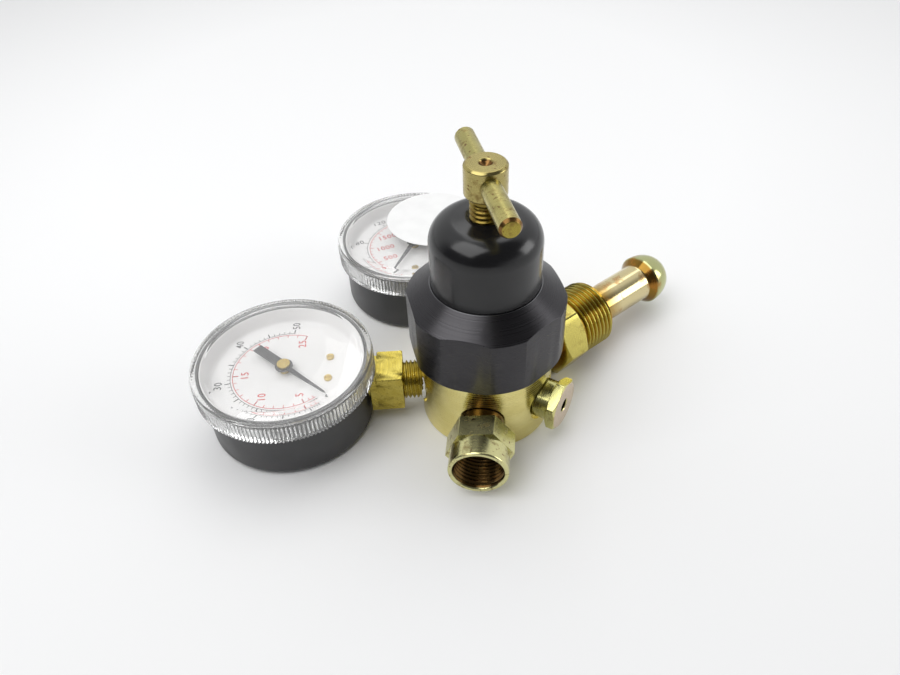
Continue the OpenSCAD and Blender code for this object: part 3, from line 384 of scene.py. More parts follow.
# drawn brass tube, polished: near mirror, pinkish gold, a darker brown next to the nut, coppery on
# the cone and pale green on the nose
nippleBrass = bareMetal("polished_brass_tube", inletSpot, {
    "colours": ("#a18038", "#b2924a"), "tarnish": ("#a87030", 0.65, 0.54), "patch": 12, "blotch": 7,
    "rough": (0.1, 0.18), "marks": 0.4, "depth": 0.004, "smear": 0.5,
    "steps": [("along", 55, 7, "#d2c496"), ("along", 77.0, 0.4, "#84662c"), ("along", 79.5, 0.5, "#b4b682")]})
# bright brass, green-gold, with a copper-pink blush on the faced end; the vent hole is painted near black as
# painted shade
reliefBrass = bareMetal("bright_brass", reliefSpot, {
    # the dark colours stay only inside the vent's radius, painted shade; past it the green-gold brass
    "colours": ("#2e2718", "#3a301c"), "tarnish": ("#8a7440", 0.4, 0.58), "patch": 5, "blotch": 3,
    "rough": (0.16, 0.3), "marks": 0.3, "depth": 0.006, "smear": 0.3,
    "steps": [("away", 2.2, 0.1, "#cfcb88"), ("along", 29.3, 0.15, "#cdb9a0")]})
# old brass: yellow chromate gone olive, with brown spots where the plating has been handled
oldFinish = {
    "colours": ("#bcb67a", "#a59d60"), "tarnish": ("#7a6034", 0.65, 0.54), "patch": 5, "blotch": 4,
    "rough": (0.2, 0.34), "marks": 0.4, "depth": 0.008, "smear": 0.35, "spots": ("#6a4020", 0.85, 1.1)}
# the same plating on the outlet, with painted shade inside its mouth: dark brown in the thread and the bore,
# the plating's gold past the thread's roots
outletBrass = bareMetal("tarnished_brass_fitting", outletSpot, {
    # these brown colours are painted shade inside the mouth; past the thread's roots the plating's gold
    **oldFinish, "colours": ("#6a5130", "#57401f"), "depth": 0.003, "rough": (0.18, 0.26),
    "steps": [("away", 7.9, 0.2, "#cfcb94")]})
# the same on the screw: dark gold in the thread, browner on the hub, and the pit in the hub's end painted
# brown as painted shade
screwBrass = bareMetal("tarnished_brass_screw", upright, {
    **oldFinish, "colours": ("#8c7a3c", "#7a6832"),
    # past the hub's start a lighter gold; inside the pit's radius brown, painted shade
    "steps": [("along", 84.5, 0.3, "#a89b62"), ("away", 2.0, -0.2, "#7c5c36")]})
# the same on the cross bar, brown on the chamfer at its end
barBrass = bareMetal("tarnished_brass_bar", barSpot, {
    **oldFinish, "colours": ("#b6ac6c", "#a59d60"),
    "steps": [("along", 24.8, 0.2, "#7a5c34"), ("along", 25.8, 0.1, "#9f9044")]})
# clockwork brass inside the gauges and the valve, clean
innerBrass = bareMetal("clock_brass", upright, {
    "colours": ("#cdb468", "#bfa250"), "tarnish": ("#7f6a34", 0.4, 0.58), "patch": 4, "blotch": 3,
    "rough": (0.2, 0.34), "marks": 0.25, "depth": 0.01, "smear": 0.2})
# oil-tempered spring wire: grey-blue, drawn lines along it
springSteel = bareMetal("spring_wire", upright, {
    "colours": ("#9a9ca0", "#7f8186"), "tarnish": ("#4f4a45", 0.4, 0.6), "patch": 6, "blotch": 4,
    "rough": (0.22, 0.38), "marks": 0.2, "depth": 0.006, "smear": 0.2})
# turned carbon steel, bright
machinedSteel = bareMetal("bright_steel", upright, {
    "colours": ("#b9bcc0", "#a7aaae"), "tarnish": ("#6a6662", 0.3, 0.6), "patch": 6, "blotch": 4,
    "rough": (0.16, 0.3), "marks": 0.3, "depth": 0.01, "smear": 0.4})
# sintered bronze filter: porous, matt brown
filterBronze = bareMetal("sintered_bronze", inletSpot, {
    "colours": ("#a97748", "#8f6238"), "tarnish": ("#4d3420", 0.8, 0.5), "patch": 2, "blotch": 0.6,
    "rough": (0.45, 0.65), "marks": 0.5, "depth": 0.04, "smear": 0.0, "pits": 0.25, "pitShare": 2.0})

# black epoxy on a die-cast bonnet: satin gloss, slightly soft reflections
bonnetBlack = coated("satin_black_epoxy", {
    "colours": ("#101011", "#151517"), "patch": 14, "rough": (0.17, 0.25), "skin": 1.2, "depth": 0.008,
    "dust": ("#6a6a6a", 0.06)})
# turned aluminium under a dark anodic skin: a grey metal sheen that runs out from the axis in streaks
ringBlack = bareMetal("black_anodised_aluminium", upright, {
    "colours": ("#464547", "#403f41"), "tarnish": ("#333234", 0.3, 0.55), "patch": 16, "blotch": 12,
    "rough": (0.26, 0.38), "marks": 0.22, "depth": 0.004, "smear": 0.7,
    # the lighter grey round the mouth's edge beside the bonnet is a bare cut edge with a painted highlight on
    # it
    "steps": [("away", 17.75, -0.15, "#6c6c6e")]})
# baked black enamel on drawn steel: even semi-gloss with a little orange peel
caseBlack = coated("black_enamel", {
    "colours": ("#363637", "#3c3c3d"), "patch": 12, "rough": (0.28, 0.4), "skin": 0.9, "depth": 0.01,
    "dust": ("#707072", 0.1)})
clearPlastic = clearCover("clear_polycarbonate", {
    "colour": "#f9f9f8", "lampTint": "#f5f5f4", "ior": 1.49, "haze": 6, "rough": (0.0, 0.012),
    "ripple": 5, "depth": 0.003, "milkyTo": (26.4, 27.1), "skirtClear": 0.91, "skirtRough": 0.03})
# white enamel printed over aluminium sheet: clean and only just glossy
dialWhite = coated("white_dial_enamel", {
    "colours": ("#e4e3e4", "#dfdedf"), "patch": 15, "rough": (0.35, 0.45), "skin": 0.3, "depth": 0.003})
# pad-printed inks: thin, slightly uneven where the pad lifts
inkSkin = {"patch": 0.8, "rough": (0.45, 0.55), "skin": 0.3, "depth": 0.003}
blackInk = coated("black_ink", {"colours": ("#222225", "#38383c"), **inkSkin})
redInk = coated("red_ink", {"colours": ("#c42e30", "#d24644"), **inkSkin})
# stamped aluminium pointer, sprayed matt black
pointerBlack = coated("matt_black_paint", {
    "colours": ("#39393d", "#2f2f32"), "patch": 2, "rough": (0.5, 0.6), "skin": 0.3, "depth": 0.004})
# fabric-backed rubber sheet: dark, dull
rubberBlack = coated("nitrile_rubber", {
    "colours": ("#2b2b2b", "#343434"), "patch": 3, "rough": (0.6, 0.75), "skin": 0.5, "depth": 0.02})
# stretched white sealing tape: dull white, fibrous
tapeWhite = coated("sealing_tape", {
    "colours": ("#eeeeec", "#dededa"), "patch": 0.7, "rough": (0.5, 0.65), "skin": 0.25, "depth": 0.03})
# coated label paper: bright white with a faint tooth
stickerPaper = coated("label_paper", {
    "colours": ("#f4f4f3", "#efefee"), "patch": 6, "rough": (0.42, 0.52), "skin": 0.35, "depth": 0.004})
print("finishes made:", len(bpy.data.materials))


bonnet = {
    "radius": 17.2, "flange": 20.9, "flangeLow": 42.4, "flangeHigh": 46.4, "round": 8.0, "roundTop": 77.6,
    "boss": 5.96, "top": 78.0, "hole": 4.83, "ceiling": 71.0, "bore": 13.5}


def bonnetShell(b):
    # a bell: flange, straight side, a quarter circle over the shoulder, a shallow crown, then back inside
    a = np.linspace(0, np.pi / 2, 17)
    r = b["radius"] - b["round"] * (1 - np.cos(a))
    h = b["roundTop"] - b["round"] * (1 - np.sin(a))
    low = softCorners([
        (b["bore"], b["flangeLow"]), (b["flange"], b["flangeLow"]), (b["flange"], b["flangeHigh"]),
        (b["radius"] + 0.5, b["flangeHigh"]), (b["radius"], b["flangeHigh"] + 0.6)], 0.3)
    top = softCorners([
        (b["boss"] + 1.2, b["top"] - 0.15), (b["boss"], b["top"]), (b["hole"], b["top"]),
        (b["hole"], b["ceiling"]), (b["bore"], b["ceiling"])], 0.25)
    return turned(np.concatenate([low, np.stack([r, h], -1), top]), 128, True)


makePiece("bonnet_shell", [bonnetShell(bonnet)], bonnetBlack, ["bonnet"])

ring = {
    "across": 48.4, "corner": 25.4, "cornerSteps": 9, "low": 29.0, "high": 55.2, "bore": 21.45, "mouth": 17.3,
    "shelf": bonnet["flangeHigh"], "faceLow": 24.6, "slope": 1.0, "faceHigh": 17.6, "slopeHigh": 5.8 / 7.8,
    "turn": math.radians(12), "soft": [0.2, 0.2, 0.3, 0.4, 0.2, 0.08, 0.08, 0.2]}
ringShell = barShell({
    **ring, "under": [(ring["bore"], ring["shelf"]), (ring["bore"], ring["low"])],
    "over": [(ring["mouth"], ring["high"]), (ring["mouth"], ring["shelf"])]})
makePiece("ring_nut_shell", [ringShell], ringBlack, ["ring_nut"], sharp=17)

screw = {
    "crest": 4.76, "root": 3.85, "pitch": 1.5875, "low": 68.5, "high": 83.8, "tip": 67.5, "tipRadius": 3.16,
    "neck": 4.3, "hub": 6.35, "hubLow": 85.2, "hubHigh": 95.3, "pit": 1.95, "pitDepth": 1.5, "chamfer": 0.7}


def screwShells(s):
    # the hub with its neck, then the plain tip below the thread, then the thread itself
    hub, low, high, cut = s["hub"], s["hubLow"], s["hubHigh"], s["chamfer"]
    head = softCorners([
        (0, s["high"] - 1), (s["neck"] - 0.5, s["high"] - 1), (s["neck"], s["high"] - 0.4), (s["neck"], low),
        (hub - cut, low), (hub, low + cut), (hub, high - cut), (hub - 0.75, high), (s["pit"] + 0.2, high),
        (s["pit"] - 0.3, high - cut), (0.5, high - s["pitDepth"]), (0, high - s["pitDepth"])], 0.2)
    tip = plug(s["tipRadius"], s["tip"], s["low"] + 0.3, 48)
    return [turned(head, 72), tip, threadShell({**s, "fadeLow": 0.6, "fadeHigh": 0.8})]


makePiece("adjusting_screw_turned", screwShells(screw), screwBrass,
          ["adjusting_screw"], body="screw")


def teeBarShell(b):
    # a round bar with a slight waist where it was pressed in, radius = r (1 - waist (1 - (z/half)^2))
    z = np.linspace(-b["half"] + b["edge"], b["half"] - b["edge"], 25)
    r = b["radius"] * (1 - b["waist"] * (1 - (z / b["half"]) ** 2))
    side = np.stack([r, z], -1)
    low = softCorners([(0, -b["half"]), (b["endRadius"], -b["half"]), side[0]], 0.2)
    high = softCorners([side[-1], (b["endRadius"], b["half"]), (0, b["half"])], 0.2)
    return turned(np.concatenate([low, side[1:-1], high]), 48)


makePiece("tee_bar_turned", [teeBarShell(teeBar)], barBrass, ["tee_bar"], barSpot,
          body="screw")
print("bonnet, ring nut and screw made")


nipple = {
    "thread": 6.6, "threadStart": 14.0, "collar": 8.6, "collarStart": 20.925, "collarEnd": 26.125,
    "shaft": 7.14, "shaftEnd": 77.325, "noseStart": 80.125, "nose": 9.5, "noseLength": 9.0, "land": 4.0,
    "bore": 2.6}


def nippleShell(n):
    # collar, polished shaft and a short cone, then a nose whose radius follows a quarter ellipse:
    # r = land + (nose - land) cos a, z = start + length sin a; the bore closes it from inside
    a = np.linspace(0, np.pi / 2, 15)[1:]
    r = n["land"] + (n["nose"] - n["land"]) * np.cos(a)
    h = n["noseStart"] + n["noseLength"] * np.sin(a)
    back = softCorners([
        (n["bore"], n["threadStart"]), (n["thread"] - 0.5, n["threadStart"]),
        (n["thread"], n["threadStart"] + 0.5), (n["thread"], n["collarStart"]),
        (n["collar"], n["collarStart"]), (n["collar"], n["collarEnd"]), (n["shaft"], n["collarEnd"]),
        (n["shaft"], n["shaftEnd"]), (n["nose"], n["noseStart"])],
        [0.2, 0.2, 0.2, 0.1, 0.4, 0.5, 0.5, 0.5, 0.15])
    end = n["noseStart"] + n["noseLength"]
    mouth = softCorners([(n["bore"] + 0.5, end), (n["bore"], end - 0.6)], 0.1)
    return turned(np.concatenate([back, np.stack([r, h], -1), mouth]), 96, True)


makePiece("inlet_nipple_turned", [nippleShell(nipple)], nippleBrass, ["inlet_nipple"],
          spot=inletSpot, sharp=34)

nut = {
    "across": 25.4, "corner": 14.4, "low": 26.925, "high": 36.925, "face": 12.55, "bore": 7.24, "soft": 0.25,
    "neck": 11.15, "neckStart": 36.4, "neckEnd": 38.925, "root": 11.0, "crest": 12.25, "pitch": 1.814,
    "threadStart": 38.1, "threadEnd": 52.0, "lipStart": 51.5, "lipEdge": 51.9, "end": 52.325, "lip": 10.6,
    "mouth": 7.7}


def nutShells(n):
    # hexagon, the plain neck behind the thread, the thread down to the bore, and the bevelled lip
    bore, root = n["bore"], n["root"]
    hexagon = barShell({
        **n, "under": [(bore, n["high"] - 0.025), (bore, n["low"])], "over": [(bore, n["high"])]})
    neck = hollow(oblong(bore, n["neck"], n["neckStart"], n["neckEnd"]))
    thread = threadShell({**n, "low": n["threadStart"], "high": n["threadEnd"], "core": bore, "fadeLow": 0.7,
                          "fadeHigh": 1.0, "steps": 96})
    lip = hollow([(bore, n["lipStart"]), (root, n["lipStart"]), (root, n["lipEdge"]), (n["lip"], n["end"]),
                  (n["mouth"], n["end"]), (bore, n["lipEdge"])])
    return [hexagon, neck, thread, lip]


makePiece("inlet_nut_threaded", nutShells(nut), nutBrass, ["inlet_nut"], inletSpot,
          body="swivel_nut")

outlet = {
    "across": 19.05, "corner": 10.95, "low": 27.325, "high": 35.025, "soft": 0.16, "turn": math.radians(7),
    "bore": 2.5, "neck": 6.6, "neckStart": 15.0, "foot": 7.1, "footStart": 20.925, "footEnd": 27.6,
    "cup": 3.65, "cupStart": 24.325, "seat": 8.5, "seatStart": 28.325, "seatEnd": 28.9, "socket": 8.3,
    "socketStart": 28.6, "socketEnd": 34.9, "collar": 9.5, "collarStart": 34.5, "lip": 7.85, "mouth": 8.25,
    "end": 42.325, "root": 7.98, "crest": 7.3, "pitch": 1.411, "core": 8.45}


def outletShells(o):
    # hexagon, neck into the body, the seat at the socket's bottom, collar, and the inside thread, whose
    # crests stand inward
    cup, socket, collar, end = o["cup"], o["socket"], o["collar"], o["end"]
    hexagon = barShell({
        **o, "under": [(socket, o["socketEnd"]), (socket, o["socketStart"]), (cup, o["socketStart"]),
                       (cup, o["low"])], "over": [(socket, o["high"])]})
    neck = hollow([
        (o["bore"], o["neckStart"]), (o["neck"], o["neckStart"]), (o["neck"], o["footStart"]),
        (o["foot"], o["footStart"]), (o["foot"], o["footEnd"]), (cup, o["footEnd"]), (cup, o["cupStart"]),
        (o["bore"], o["cupStart"])], angles=72)
    seat = hollow(oblong(cup, o["seat"], o["seatStart"], o["seatEnd"]), 0.1, 72)
    rim = hollow([(socket, o["collarStart"]), (collar, o["collarStart"]), (collar, end - 0.5),
                  (collar - 0.3, end), (o["mouth"], end), (o["lip"], end - 0.6), (socket, end - 1.2)])
    thread = threadShell({**o, "low": o["socketStart"], "high": end - 0.5, "fadeLow": 0.5, "fadeHigh": 1.3,
                          "steps": 96})
    return [hexagon, neck, seat, rim, thread]


makePiece("outlet_fitting_machined", outletShells(outlet), outletBrass,
          ["outlet_fitting"], spot=outletSpot)

relief = {
    "across": 15.9, "corner": 9.0, "face": 7.8, "low": 25.925, "high": 29.525, "soft": 0.15,
    "turn": math.radians(-26), "thread": 4.75, "start": 14.0, "neck": 6.75, "neckStart": 20.925, "bore": 3.3,
    "vent": 2.2, "ventDepth": 2.0, "bevel": 0.35, "inlet": 1.2, "inletDepth": 1.5}


def reliefShells(r):
    # a flat hexagon with a vent hole in its face, on a round neck
    bore, vent, start, high = r["bore"], r["vent"], r["start"], r["high"]
    hexagon = barShell({
        **r, "under": [(bore, r["low"])],
        "over": [(vent + r["bevel"], high), (vent, high - r["bevel"]), (vent, high - r["ventDepth"]),
                 (bore, high - r["ventDepth"])]})
    neck = hollow([
        (r["inlet"], start), (r["thread"], start), (r["thread"], r["neckStart"]), (r["neck"], r["neckStart"]),
        (r["neck"], r["low"] + 0.2), (bore, r["low"] + 0.2), (bore, start + r["inletDepth"]),
        (r["inlet"], start + r["inletDepth"])], angles=72)
    return [hexagon, neck]


makePiece("relief_body_machined", reliefShells(relief), reliefBrass, ["relief_body"],
          spot=reliefSpot)
print("inlet, outlet and relief valve made")


case = {"radius": 28.15, "wall": 0.9, "depth": 24.8, "round": 2.6}
cover = {
    "radius": 30.4, "bottom": 18.5, "inner": 28.25, "top": 27.2, "ribs": 146, "ribDepth": 0.65,
    "ribTop": 25.0, "bevelOut": 28.2, "bevelIn": 25.5, "window": 28.2, "middle": 12.0, "under": 26.0,
    "shelf": 24.9}
dial = {"height": 19.35, "thickness": 0.4, "flat": 25.5, "rim": 26.6, "rise": 5.3, "hole": 1.6}
stem = {
    "sides": 4, "across": 14.3, "corner": 9.95, "face": 9.65, "slope": 1.0, "soft": 0.15, "blockStart": 30.72,
    "blockEnd": 39.625, "footStart": 28.4, "footTop": 5.2, "inset": 0.03, "neck": 5.5, "neckStart": 25.5,
    "overlap": 0.6, "crest": 6.6, "root": 5.75, "pitch": 1.411, "socket": (8.0, 26.0), "socketLow": 4.6,
    "socketHigh": 13.2}


def caseShell(c):
    # a deep round pan: outer wall with a rounded back edge, rolled lip, inner wall
    outer, inner, depth = c["radius"], c["radius"] - c["wall"], c["depth"]
    a = np.linspace(-np.pi / 2, 0, 9)
    curve = np.stack([-c["round"] * (1 - np.cos(a)), c["round"] * (1 + np.sin(a))], -1)
    back, front = curve + [outer, 0], (curve + [inner, c["wall"]])[::-1]
    lip = softCorners([(outer, depth - 1), (outer, depth), (inner, depth), (inner, depth - 1)], 0.3)
    return turned(np.concatenate([[(0, 0)], back, lip, front, [(0, c["wall"])]]), 128)


def coverShell(c):
    # a clear cap: ribs down the skirt, radius = full - depth * ((1 + cos(ribs * a)) / 2)^2 * share, where the
    # share is 1 on the skirt and fades to 0 below the smooth band; then a bevel up to the flat window
    perRib = 6
    a = np.arange(c["ribs"] * perRib) * fullTurn / (c["ribs"] * perRib)
    groove = (0.5 + 0.5 * np.cos(a * c["ribs"])) ** 2
    full, inner, low, top = c["radius"], c["inner"], c["bottom"], c["top"]
    bevelOut, bevelIn, window, under = c["bevelOut"], c["bevelIn"], c["window"], c["under"]
    skirt = [(inner, low, 0), (inner + 0.6, low, 0.2), (full - 0.35, low, 1), (full, low + 0.35, 1),
             (full, c["ribTop"], 1)]
    smooth = [
        (full - 0.25, c["ribTop"] + 0.5), (full - 0.2, top - 0.7), (full - 0.45, top - 0.2),
        (full - 0.9, top), (bevelOut + 0.25, top), (bevelOut - 0.2, top + 0.1),
        (bevelIn + 0.3, window - 0.12), (bevelIn - 0.3, window), (c["middle"], window), (0, window),
        (0, under), (c["middle"], under), (bevelIn - 0.6, under), (inner - 0.6, c["shelf"]),
        (inner, c["shelf"])]
    rows = np.array(skirt + [(r, h, 0) for r, h in smooth])
    r = rows[:, :1] - c["ribDepth"] * rows[:, 2:] * groove
    h = np.broadcast_to(rows[:, 1:2], r.shape)
    return turned(np.stack([r, h], -1), a, True)


def dialShell(d):
    # a shallow pan: flat face, a steep wall up to the case's mouth, and the same line back underneath
    face = [(d["hole"], d["height"]), (d["flat"], d["height"]), (d["rim"], d["height"] + d["rise"])]
    back = [(r + out, h - d["thickness"]) for (r, h), out in zip(face[::-1], (0.3, 0.2, 0))]
    lip = (back[0][0], face[-1][1])
    return turned(softCorners(face + [lip] + back, [0.1, 1.2, 0.1, 0.1, 0.1, 1.2, 0.1], 6, True), 128, True)


inkLift, inkThickness = 0.03, 0.03
strokeGrowth, numeralSpacing = 0.025, 1.1


def printArc(radius, width, start, end):
    # a flat band along an arc, its ends pinched shut
    a = np.radians(np.linspace(start, end, 161))
    pinch = np.ones_like(a)
    pinch[[0, -1]] = 0
    across = np.array([-0.5, 0.5, 0.5, -0.5])[:, None] * width * pinch
    up = inkLift + np.array([0, 0, 1, 1])[:, None] * inkThickness * pinch
    r = radius + across
    return np.stack([r * np.cos(a), r * np.sin(a), dial["height"] + up], -1), True, False


def printTicks(angles, inner, outer, width):
    # one thin block per tick, all worked out at once: four corners along and across it, at two heights
    a = np.radians(angles)[:, None]
    along = np.array([0, 1, 1, 0] * 2) * (outer - inner) + inner
    across = np.array([-0.5, -0.5, 0.5, 0.5] * 2) * width
    up = inkLift + np.repeat([0, inkThickness], 4)
    x = along * np.cos(a) - across * np.sin(a)
    y = along * np.sin(a) + across * np.cos(a)
    points = np.stack([x, y, dial["height"] + up + 0 * x], -1)
    block = np.array([[0, 3, 2, 1], [4, 5, 6, 7], [0, 1, 5, 4], [1, 2, 6, 5], [2, 3, 7, 6], [3, 0, 4, 7]])
    faces = np.arange(len(a))[:, None, None] * 8 + block
    return points.reshape(-1, 3), faces.reshape(-1, 4).tolist()


def numeral(value, angle, radius, look):
    # a numeral in the built-in font, centred by its own box on the scale's angle and radius. The reader's
    # right is local y and up is local -x, both turned by the tilt
    curve = bpy.data.curves.new("numeral", "FONT")
    curve.body, curve.size = str(value), look["size"]
    curve.extrude, curve.resolution_u = inkThickness / 2, 3
    curve.offset, curve.space_character = strokeGrowth, numeralSpacing
    holder = addObject("numeral", curve)
    bpy.context.view_layer.update()
    mesh = bpy.data.meshes.new_from_object(holder.evaluated_get(bpy.context.evaluated_depsgraph_get()))
    bpy.data.objects.remove(holder)
    flat = np.zeros(len(mesh.vertices) * 3)
    mesh.vertices.foreach_get("co", flat)
    flat = flat.reshape(-1, 3)
    right, up = (flat - (flat.min(0) + flat.max(0)) / 2)[:, :2].T
    right *= look["squeeze"]
    a, t = math.radians(angle), math.radians(look["tilt"])
    x = radius * math.cos(a) - right * math.sin(t) - up * math.cos(t)
    y = radius * math.sin(a) + right * math.cos(t) - up * math.sin(t)
    points = np.stack([x, y, dial["height"] + inkLift + inkThickness / 2 + flat[:, 2]], -1)
    faces = [list(face.vertices) for face in mesh.polygons]
    bpy.data.meshes.remove(mesh)
    return points, faces


def printScale(name, ink, look, p):
    # one ink of a dial: the scale's arc, rows of ticks that start on it (their values, length and weight) and
    # the numerals, each with its own radius. Values times the unit are what the dial's angle function takes
    def angles(values):
        return look["angle"](np.array(values) * p["unit"])

    blocks = []
    for values, length, weight in p["ticks"]:
        inner, outer = sorted((p["arc"], p["arc"] + length))
        blocks.append(printTicks(angles(values), inner, outer, look["tick"] * weight))
    blocks += [numeral(value, angles(value), radius, look) for value, radius in p["numbers"].items()]
    makePiece(name, [printArc(p["arc"], p["line"], *p["ends"])], ink, spot=look["spot"],
              blocks=blocks)


flowKnots = {"values": [0, 10, 20, 30, 40, 50, 53], "angles": [-36, -60, -112, -165, -219, -274, -290]}
cylinderScale = {"start": -36.5, "end": -319.5, "perUnit": 35.4 / 500}


def flowAngle(value):
    # an uneven scale: its first ten divisions are squeezed together
    return np.interp(value, flowKnots["values"], flowKnots["angles"])


def cylinderAngle(value):
    # an even scale, clockwise from its start
    return cylinderScale["start"] - value * cylinderScale["perUnit"]


flowLook = {
    "angle": flowAngle, "spot": gaugeSpot("flow"), "tick": 0.26, "size": 3.8, "squeeze": 0.94, "tilt": 4}
printScale("flow_print_black", blackInk, flowLook, {
    "unit": 1, "arc": 18.55, "line": 0.176, "ends": (flowAngle(5), -275),
    "ticks": [(range(6, 51), 1.1, 0.8), (range(10, 51, 5), 2.0, 1.4)],
    "numbers": dict.fromkeys(range(10, 51, 10), 22.85)})
printScale("flow_print_red", redInk, flowLook, {
    "unit": 2.119, "arc": 17.75, "line": 0.22, "ends": (flowAngle(5), -290.5),
    "ticks": [(range(3, 26), -1.3, 0.8), (range(5, 26, 5), -2.0, 1.4)],
    "numbers": dict.fromkeys(range(5, 26, 5), 13.55)})

cylinderLook = {
    "angle": cylinderAngle, "spot": gaugeSpot("cylinder"), "tick": 0.22, "size": 3.6, "squeeze": 1.02,
    "tilt": 1.5}
cylinderEnds = (cylinderScale["start"], cylinderScale["end"])
printScale("cylinder_print_black", blackInk, cylinderLook, {
    "unit": 14.504, "arc": 19.4, "line": 0.2, "ends": cylinderEnds,
    "ticks": [(range(0, 280, 10), 0.9, 0.8), (range(0, 280, 40), 1.8, 1.2)],
    "numbers": dict.fromkeys(range(40, 250, 40), 23.3)})
printScale("cylinder_print_red", redInk, cylinderLook, {
    "unit": 1, "arc": 18.4, "line": 0.2, "ends": cylinderEnds,
    "ticks": [(range(0, 4001, 100), -0.9, 0.8), (range(0, 4001, 500), -1.8, 1.2)],
    "numbers": {**dict.fromkeys(range(500, 4001, 500), 13.3), 500: 12.3, 1000: 11.7}})


def stemShells(s, threadEnd):
    # inside the case a flat-topped socket, then a round neck, the square wrench block, whose foot reaches
    # in under the lens cap, and the pipe thread. The grids are made along z, the gauge's own x
    half, low, high = s["across"] / 2, s["socketLow"] - portHeight, s["socketHigh"] - portHeight
    side = half - s["inset"]
    block = barShell({**s, "low": s["blockStart"], "high": s["blockEnd"]})
    footEnds = (s["footStart"], s["blockStart"] + s["overlap"])
    foot = squareBar((-side, s["footTop"]), (-side, side), footEnds, 0.2)
    neck = plug(s["neck"], s["neckStart"], s["footStart"] + 0.5, 64)
    thread = threadShell({**s, "low": s["blockEnd"] - s["overlap"], "high": threadEnd, "fadeLow": 1.2,
                          "fadeHigh": 0.9})
    return [block, foot, neck, thread, squareBar((low, high), (-half, half), s["socket"], 0.4)]


for name, gauge in gauges.items():
    origin, axes = gaugeSpot(name)
    dressed = [("_case_pan", caseShell(case), caseBlack, "case_black", "_case", 28),
               ("_cover_ribbed", coverShell(cover), clearPlastic, "lens_clear", "_lens", 40),
               ("_dial_face", dialShell(dial), dialWhite, "dial_white", "_dial", 28)]
    for piece, shell, finish, slotName, node, sharp in dressed:
        makePiece(name + piece, [shell], finish, [name + node], (origin, axes), sharp)
    # the stem's frame: z runs along the gauge's x, x runs up
    along = (origin + [0, 0, portHeight], np.array([axes[2], -axes[1], axes[0]]))
    stemBrass = bareMetal("raw_brass_" + name, (origin, axes[[2, 1, 0]]), stemFinish)
    makePiece(name + "_stem_machined", stemShells(stem, gauge["threadEnd"]), stemBrass,
              [name + "_stem"], along)
print("gauges made")

tape = {
    "low": 20.95, "high": 22.7, "inner": 6.3, "radius": 6.85, "crumple": 0.28, "thickAt": 3.6, "thin": 0.3}


def tapeShell(t):
    # a wound band of tape, broad on one side and torn down to a thread on the other: its width is a share of
    # the whole that follows ((1 + cos(a - thickAt)) / 2)^2; radius and edges wander by sums of sines
    a = np.arange(240) * fullTurn / 240
    wander = 0.5 * np.sin(5 * a) + 0.3 * np.sin(13 * a + 1.0) + 0.4 * np.sin(31 * a + 2.0)
    torn = 0.4 * np.sin(7 * a + 0.5) + 0.4 * np.sin(17 * a + 2.5) + 0.3 * np.sin(37 * a)
    share = t["thin"] + (1 - t["thin"]) * (0.5 + 0.5 * np.cos(a - t["thickAt"])) ** 2
    width = (t["high"] - t["low"]) * np.clip(share * (1 + 0.35 * torn), 0.1, 1)
    thick = t["radius"] - t["inner"]
    over = np.stack([0 * a, thick * (0.7 + 0.3 * torn), thick + t["crumple"] * wander,
                     thick * (0.7 - 0.3 * wander), 0 * a])
    h = t["low"] + width * np.array([0, 0.05, 0.5, 0.95, 1])[:, None]
    return turned(np.stack([t["inner"] + over * share ** 0.5, h], -1), a, True)


makePiece("thread_tape_wound", [tapeShell(tape)], tapeWhite, ["thread_tape"],
          spot=portSpot(ports["flow"]), sharp=60)

sticker = {"centre": (-16.24, 75.02), "radius": 19.05, "low": 28.22, "thickness": 0.14, "curl": 0.12}


def stickerShell(s):
    # a paper disc, flat on the window; past it the paper lifts by curl * (r / radius)^6 * (1 + sin 2a) / 2
    a = np.arange(128) * fullTurn / 128
    r = np.linspace(0, 1, 12)[:, None] * s["radius"]
    lift = s["curl"] * (r / s["radius"]) ** 6 * (0.5 + 0.5 * np.sin(2 * a))
    low = np.stack([r + 0 * a, s["low"] + lift], -1)
    high = low[::-1] + [0, s["thickness"]]
    return turned(np.concatenate([low, high]), a)


makePiece("round_sticker_paper", [stickerShell(sticker)], stickerPaper,
          ["round_sticker"], spot=(np.array([*sticker["centre"], 0]), np.eye(3)), sharp=60)

# CAD nodes that keep their own shape and only get a finish
kept = [
    (bodyBrass, ["regulator_body"]), (rubberBlack, ["diaphragm"]), (filterBronze, ["inlet_filter"]),
    (innerBrass, ["valve_seat", "slip_ring", "metering_orifice"]),
    (innerBrass, [name + part for name in gauges
                  for part in ("_dial_screws", "_arbor", "_movement", "_sector", "_tube")]),
    (machinedSteel, ["valve_poppet", "diaphragm_plate", "spring_button", "relief_poppet"]),
    (machinedSteel, [name + "_link" for name in gauges]),
    (pointerBlack, [name + "_pointer" for name in gauges]),
    (springSteel, ["valve_spring", "adjusting_spring", "relief_spring"])]
for finish, names in kept:
    for mesh in (nodes[name].data for name in names):
        for i in range(len(mesh.materials)):
            mesh.materials[i] = finish
        if not mesh.materials:
            mesh.materials.append(finish)
print("CAD nodes finished:", sum(len(names) for _, names in kept))


# painted light on the floor: brightest white round the centre, greyer towards the edges
floorLook = {
    "half": 2500, "middle": "#f8f8f8", "edge": "#e4e4e4", "centre": (-30, 230, 0), "paintedFalloffFrom": 180,
    "paintedFalloffTo": 480, "drop": 0.02, "lines": 21}


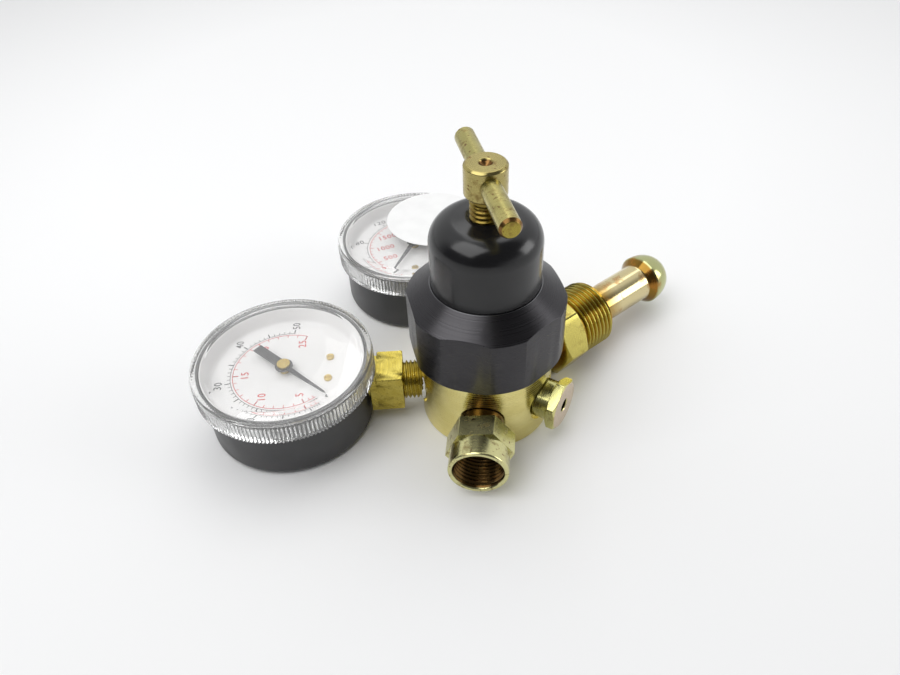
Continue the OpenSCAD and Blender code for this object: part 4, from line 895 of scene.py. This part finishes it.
def makeFloor(f):
    # a flat square under the object; its white falls off slowly with the distance from a brightest place, a
    # painted fall-off of the lamps' light
    count = f["lines"]
    lines = np.linspace(-f["half"], f["half"], count)
    x, y = np.meshgrid(lines, lines)
    grid = np.stack([x, y, np.full_like(x, -f["drop"])], -1)
    mesh = bpy.data.meshes.new("studio_floor")
    mesh.from_pydata((grid.reshape(-1, 3) * mm).tolist(), [], gridFaces(count, count, False, False).tolist())
    material, tree, shader, place = newFinish("white_backdrop_paper",
                                              {"Specular IOR Level": 0.2, "Roughness": 0.9})
    centre = tuple(v * mm for v in f["centre"])
    away = addNode(tree, "VectorMath", {0: place, 1: centre}, operation="DISTANCE").outputs[1]
    fade = addNode(tree, "MapRange", {0: away, 1: f["paintedFalloffFrom"] * mm, 2: f["paintedFalloffTo"] * mm}).outputs[0]
    tree.links.new(layered(tree, f["middle"], [(fade, f["edge"])]), shader.inputs["Base Color"])
    mesh.materials.append(material)
    addObject("studio_floor", mesh)


def softbox(name, place, aim, size, power):
    # a square lamp that faces the aim point; places in millimetres, power in watts
    lamp = bpy.data.lights.new(name, "AREA")
    lamp.shape, lamp.size, lamp.energy = "SQUARE", size * mm, power
    holder = addObject(name, lamp)
    holder.location = Vector(place) * mm
    holder.rotation_euler = (Vector(aim) - Vector(place)).to_track_quat("-Z", "Y").to_euler()


def makeWorld(w):
    # an even white surround with dark patches where the room shows between the boxes: each patch mixes its
    # grey in by the cosine of the angle to its middle, between an inner and an outer angle
    world = bpy.data.worlds.new("studio")
    world.use_nodes = True
    tree = world.node_tree
    tree.nodes.clear()
    place = addNode(tree, "TexCoord").outputs["Generated"]
    layers = []
    for azimuth, elevation, inner, outer in w["patches"]:
        height, around = math.radians(elevation), math.radians(azimuth)
        middle = (math.cos(height) * math.cos(around), math.cos(height) * math.sin(around), math.sin(height))
        near = addNode(tree, "VectorMath", {0: place, 1: middle}, operation="DOT_PRODUCT").outputs[1]
        start, end = math.cos(math.radians(outer)), math.cos(math.radians(inner))
        layers.append((addNode(tree, "MapRange", {0: near, 1: start, 2: end}).outputs[0], w["dark"]))
    colour = layered(tree, w["white"], layers)
    sky = addNode(tree, "Background", {"Color": colour, "Strength": w["strength"]}).outputs[0]
    addNode(tree, "OutputWorld", {"Surface": sky})
    scene.world = world


makeFloor(floorLook)
softbox("left_light", (-520, -300, 1039), (0, 0, 30), 950, 7.3)
softbox("back_light", (150, 700, 1200), (0, 0, 0), 900, 3.4)
softbox("right_light", (1126, -59, 410), (0, 0, 30), 560, 3.2)
makeWorld({"white": "#f6f7f8", "dark": "#666668", "strength": 0.97,
           "patches": [(-125, 5, 50, 78), (-50, 50, 34, 48)]})

camera = {
    "place": (-11.84, -179.45, 196.67), "lens": 29.583, "sensor": 36.0, "pitch": 42.69, "roll": -2.61,
    "near": 5, "far": 20000}


def makeCamera(c):
    # looks along +y, tipped down by the pitch, then rolled about its own axis
    data = bpy.data.cameras.new("camera")
    data.lens, data.sensor_width = c["lens"], c["sensor"]
    data.clip_start, data.clip_end = c["near"] * mm, c["far"] * mm
    holder = addObject("camera", data)
    tip = Matrix.Rotation(math.radians(90 - c["pitch"]), 4, "X")
    roll = Matrix.Rotation(math.radians(c["roll"]), 4, "Z")
    holder.matrix_world = Matrix.Translation(Vector(c["place"]) * mm) @ tip @ roll
    scene.camera = holder


makeCamera(camera)
scene.view_settings.view_transform = "Standard"
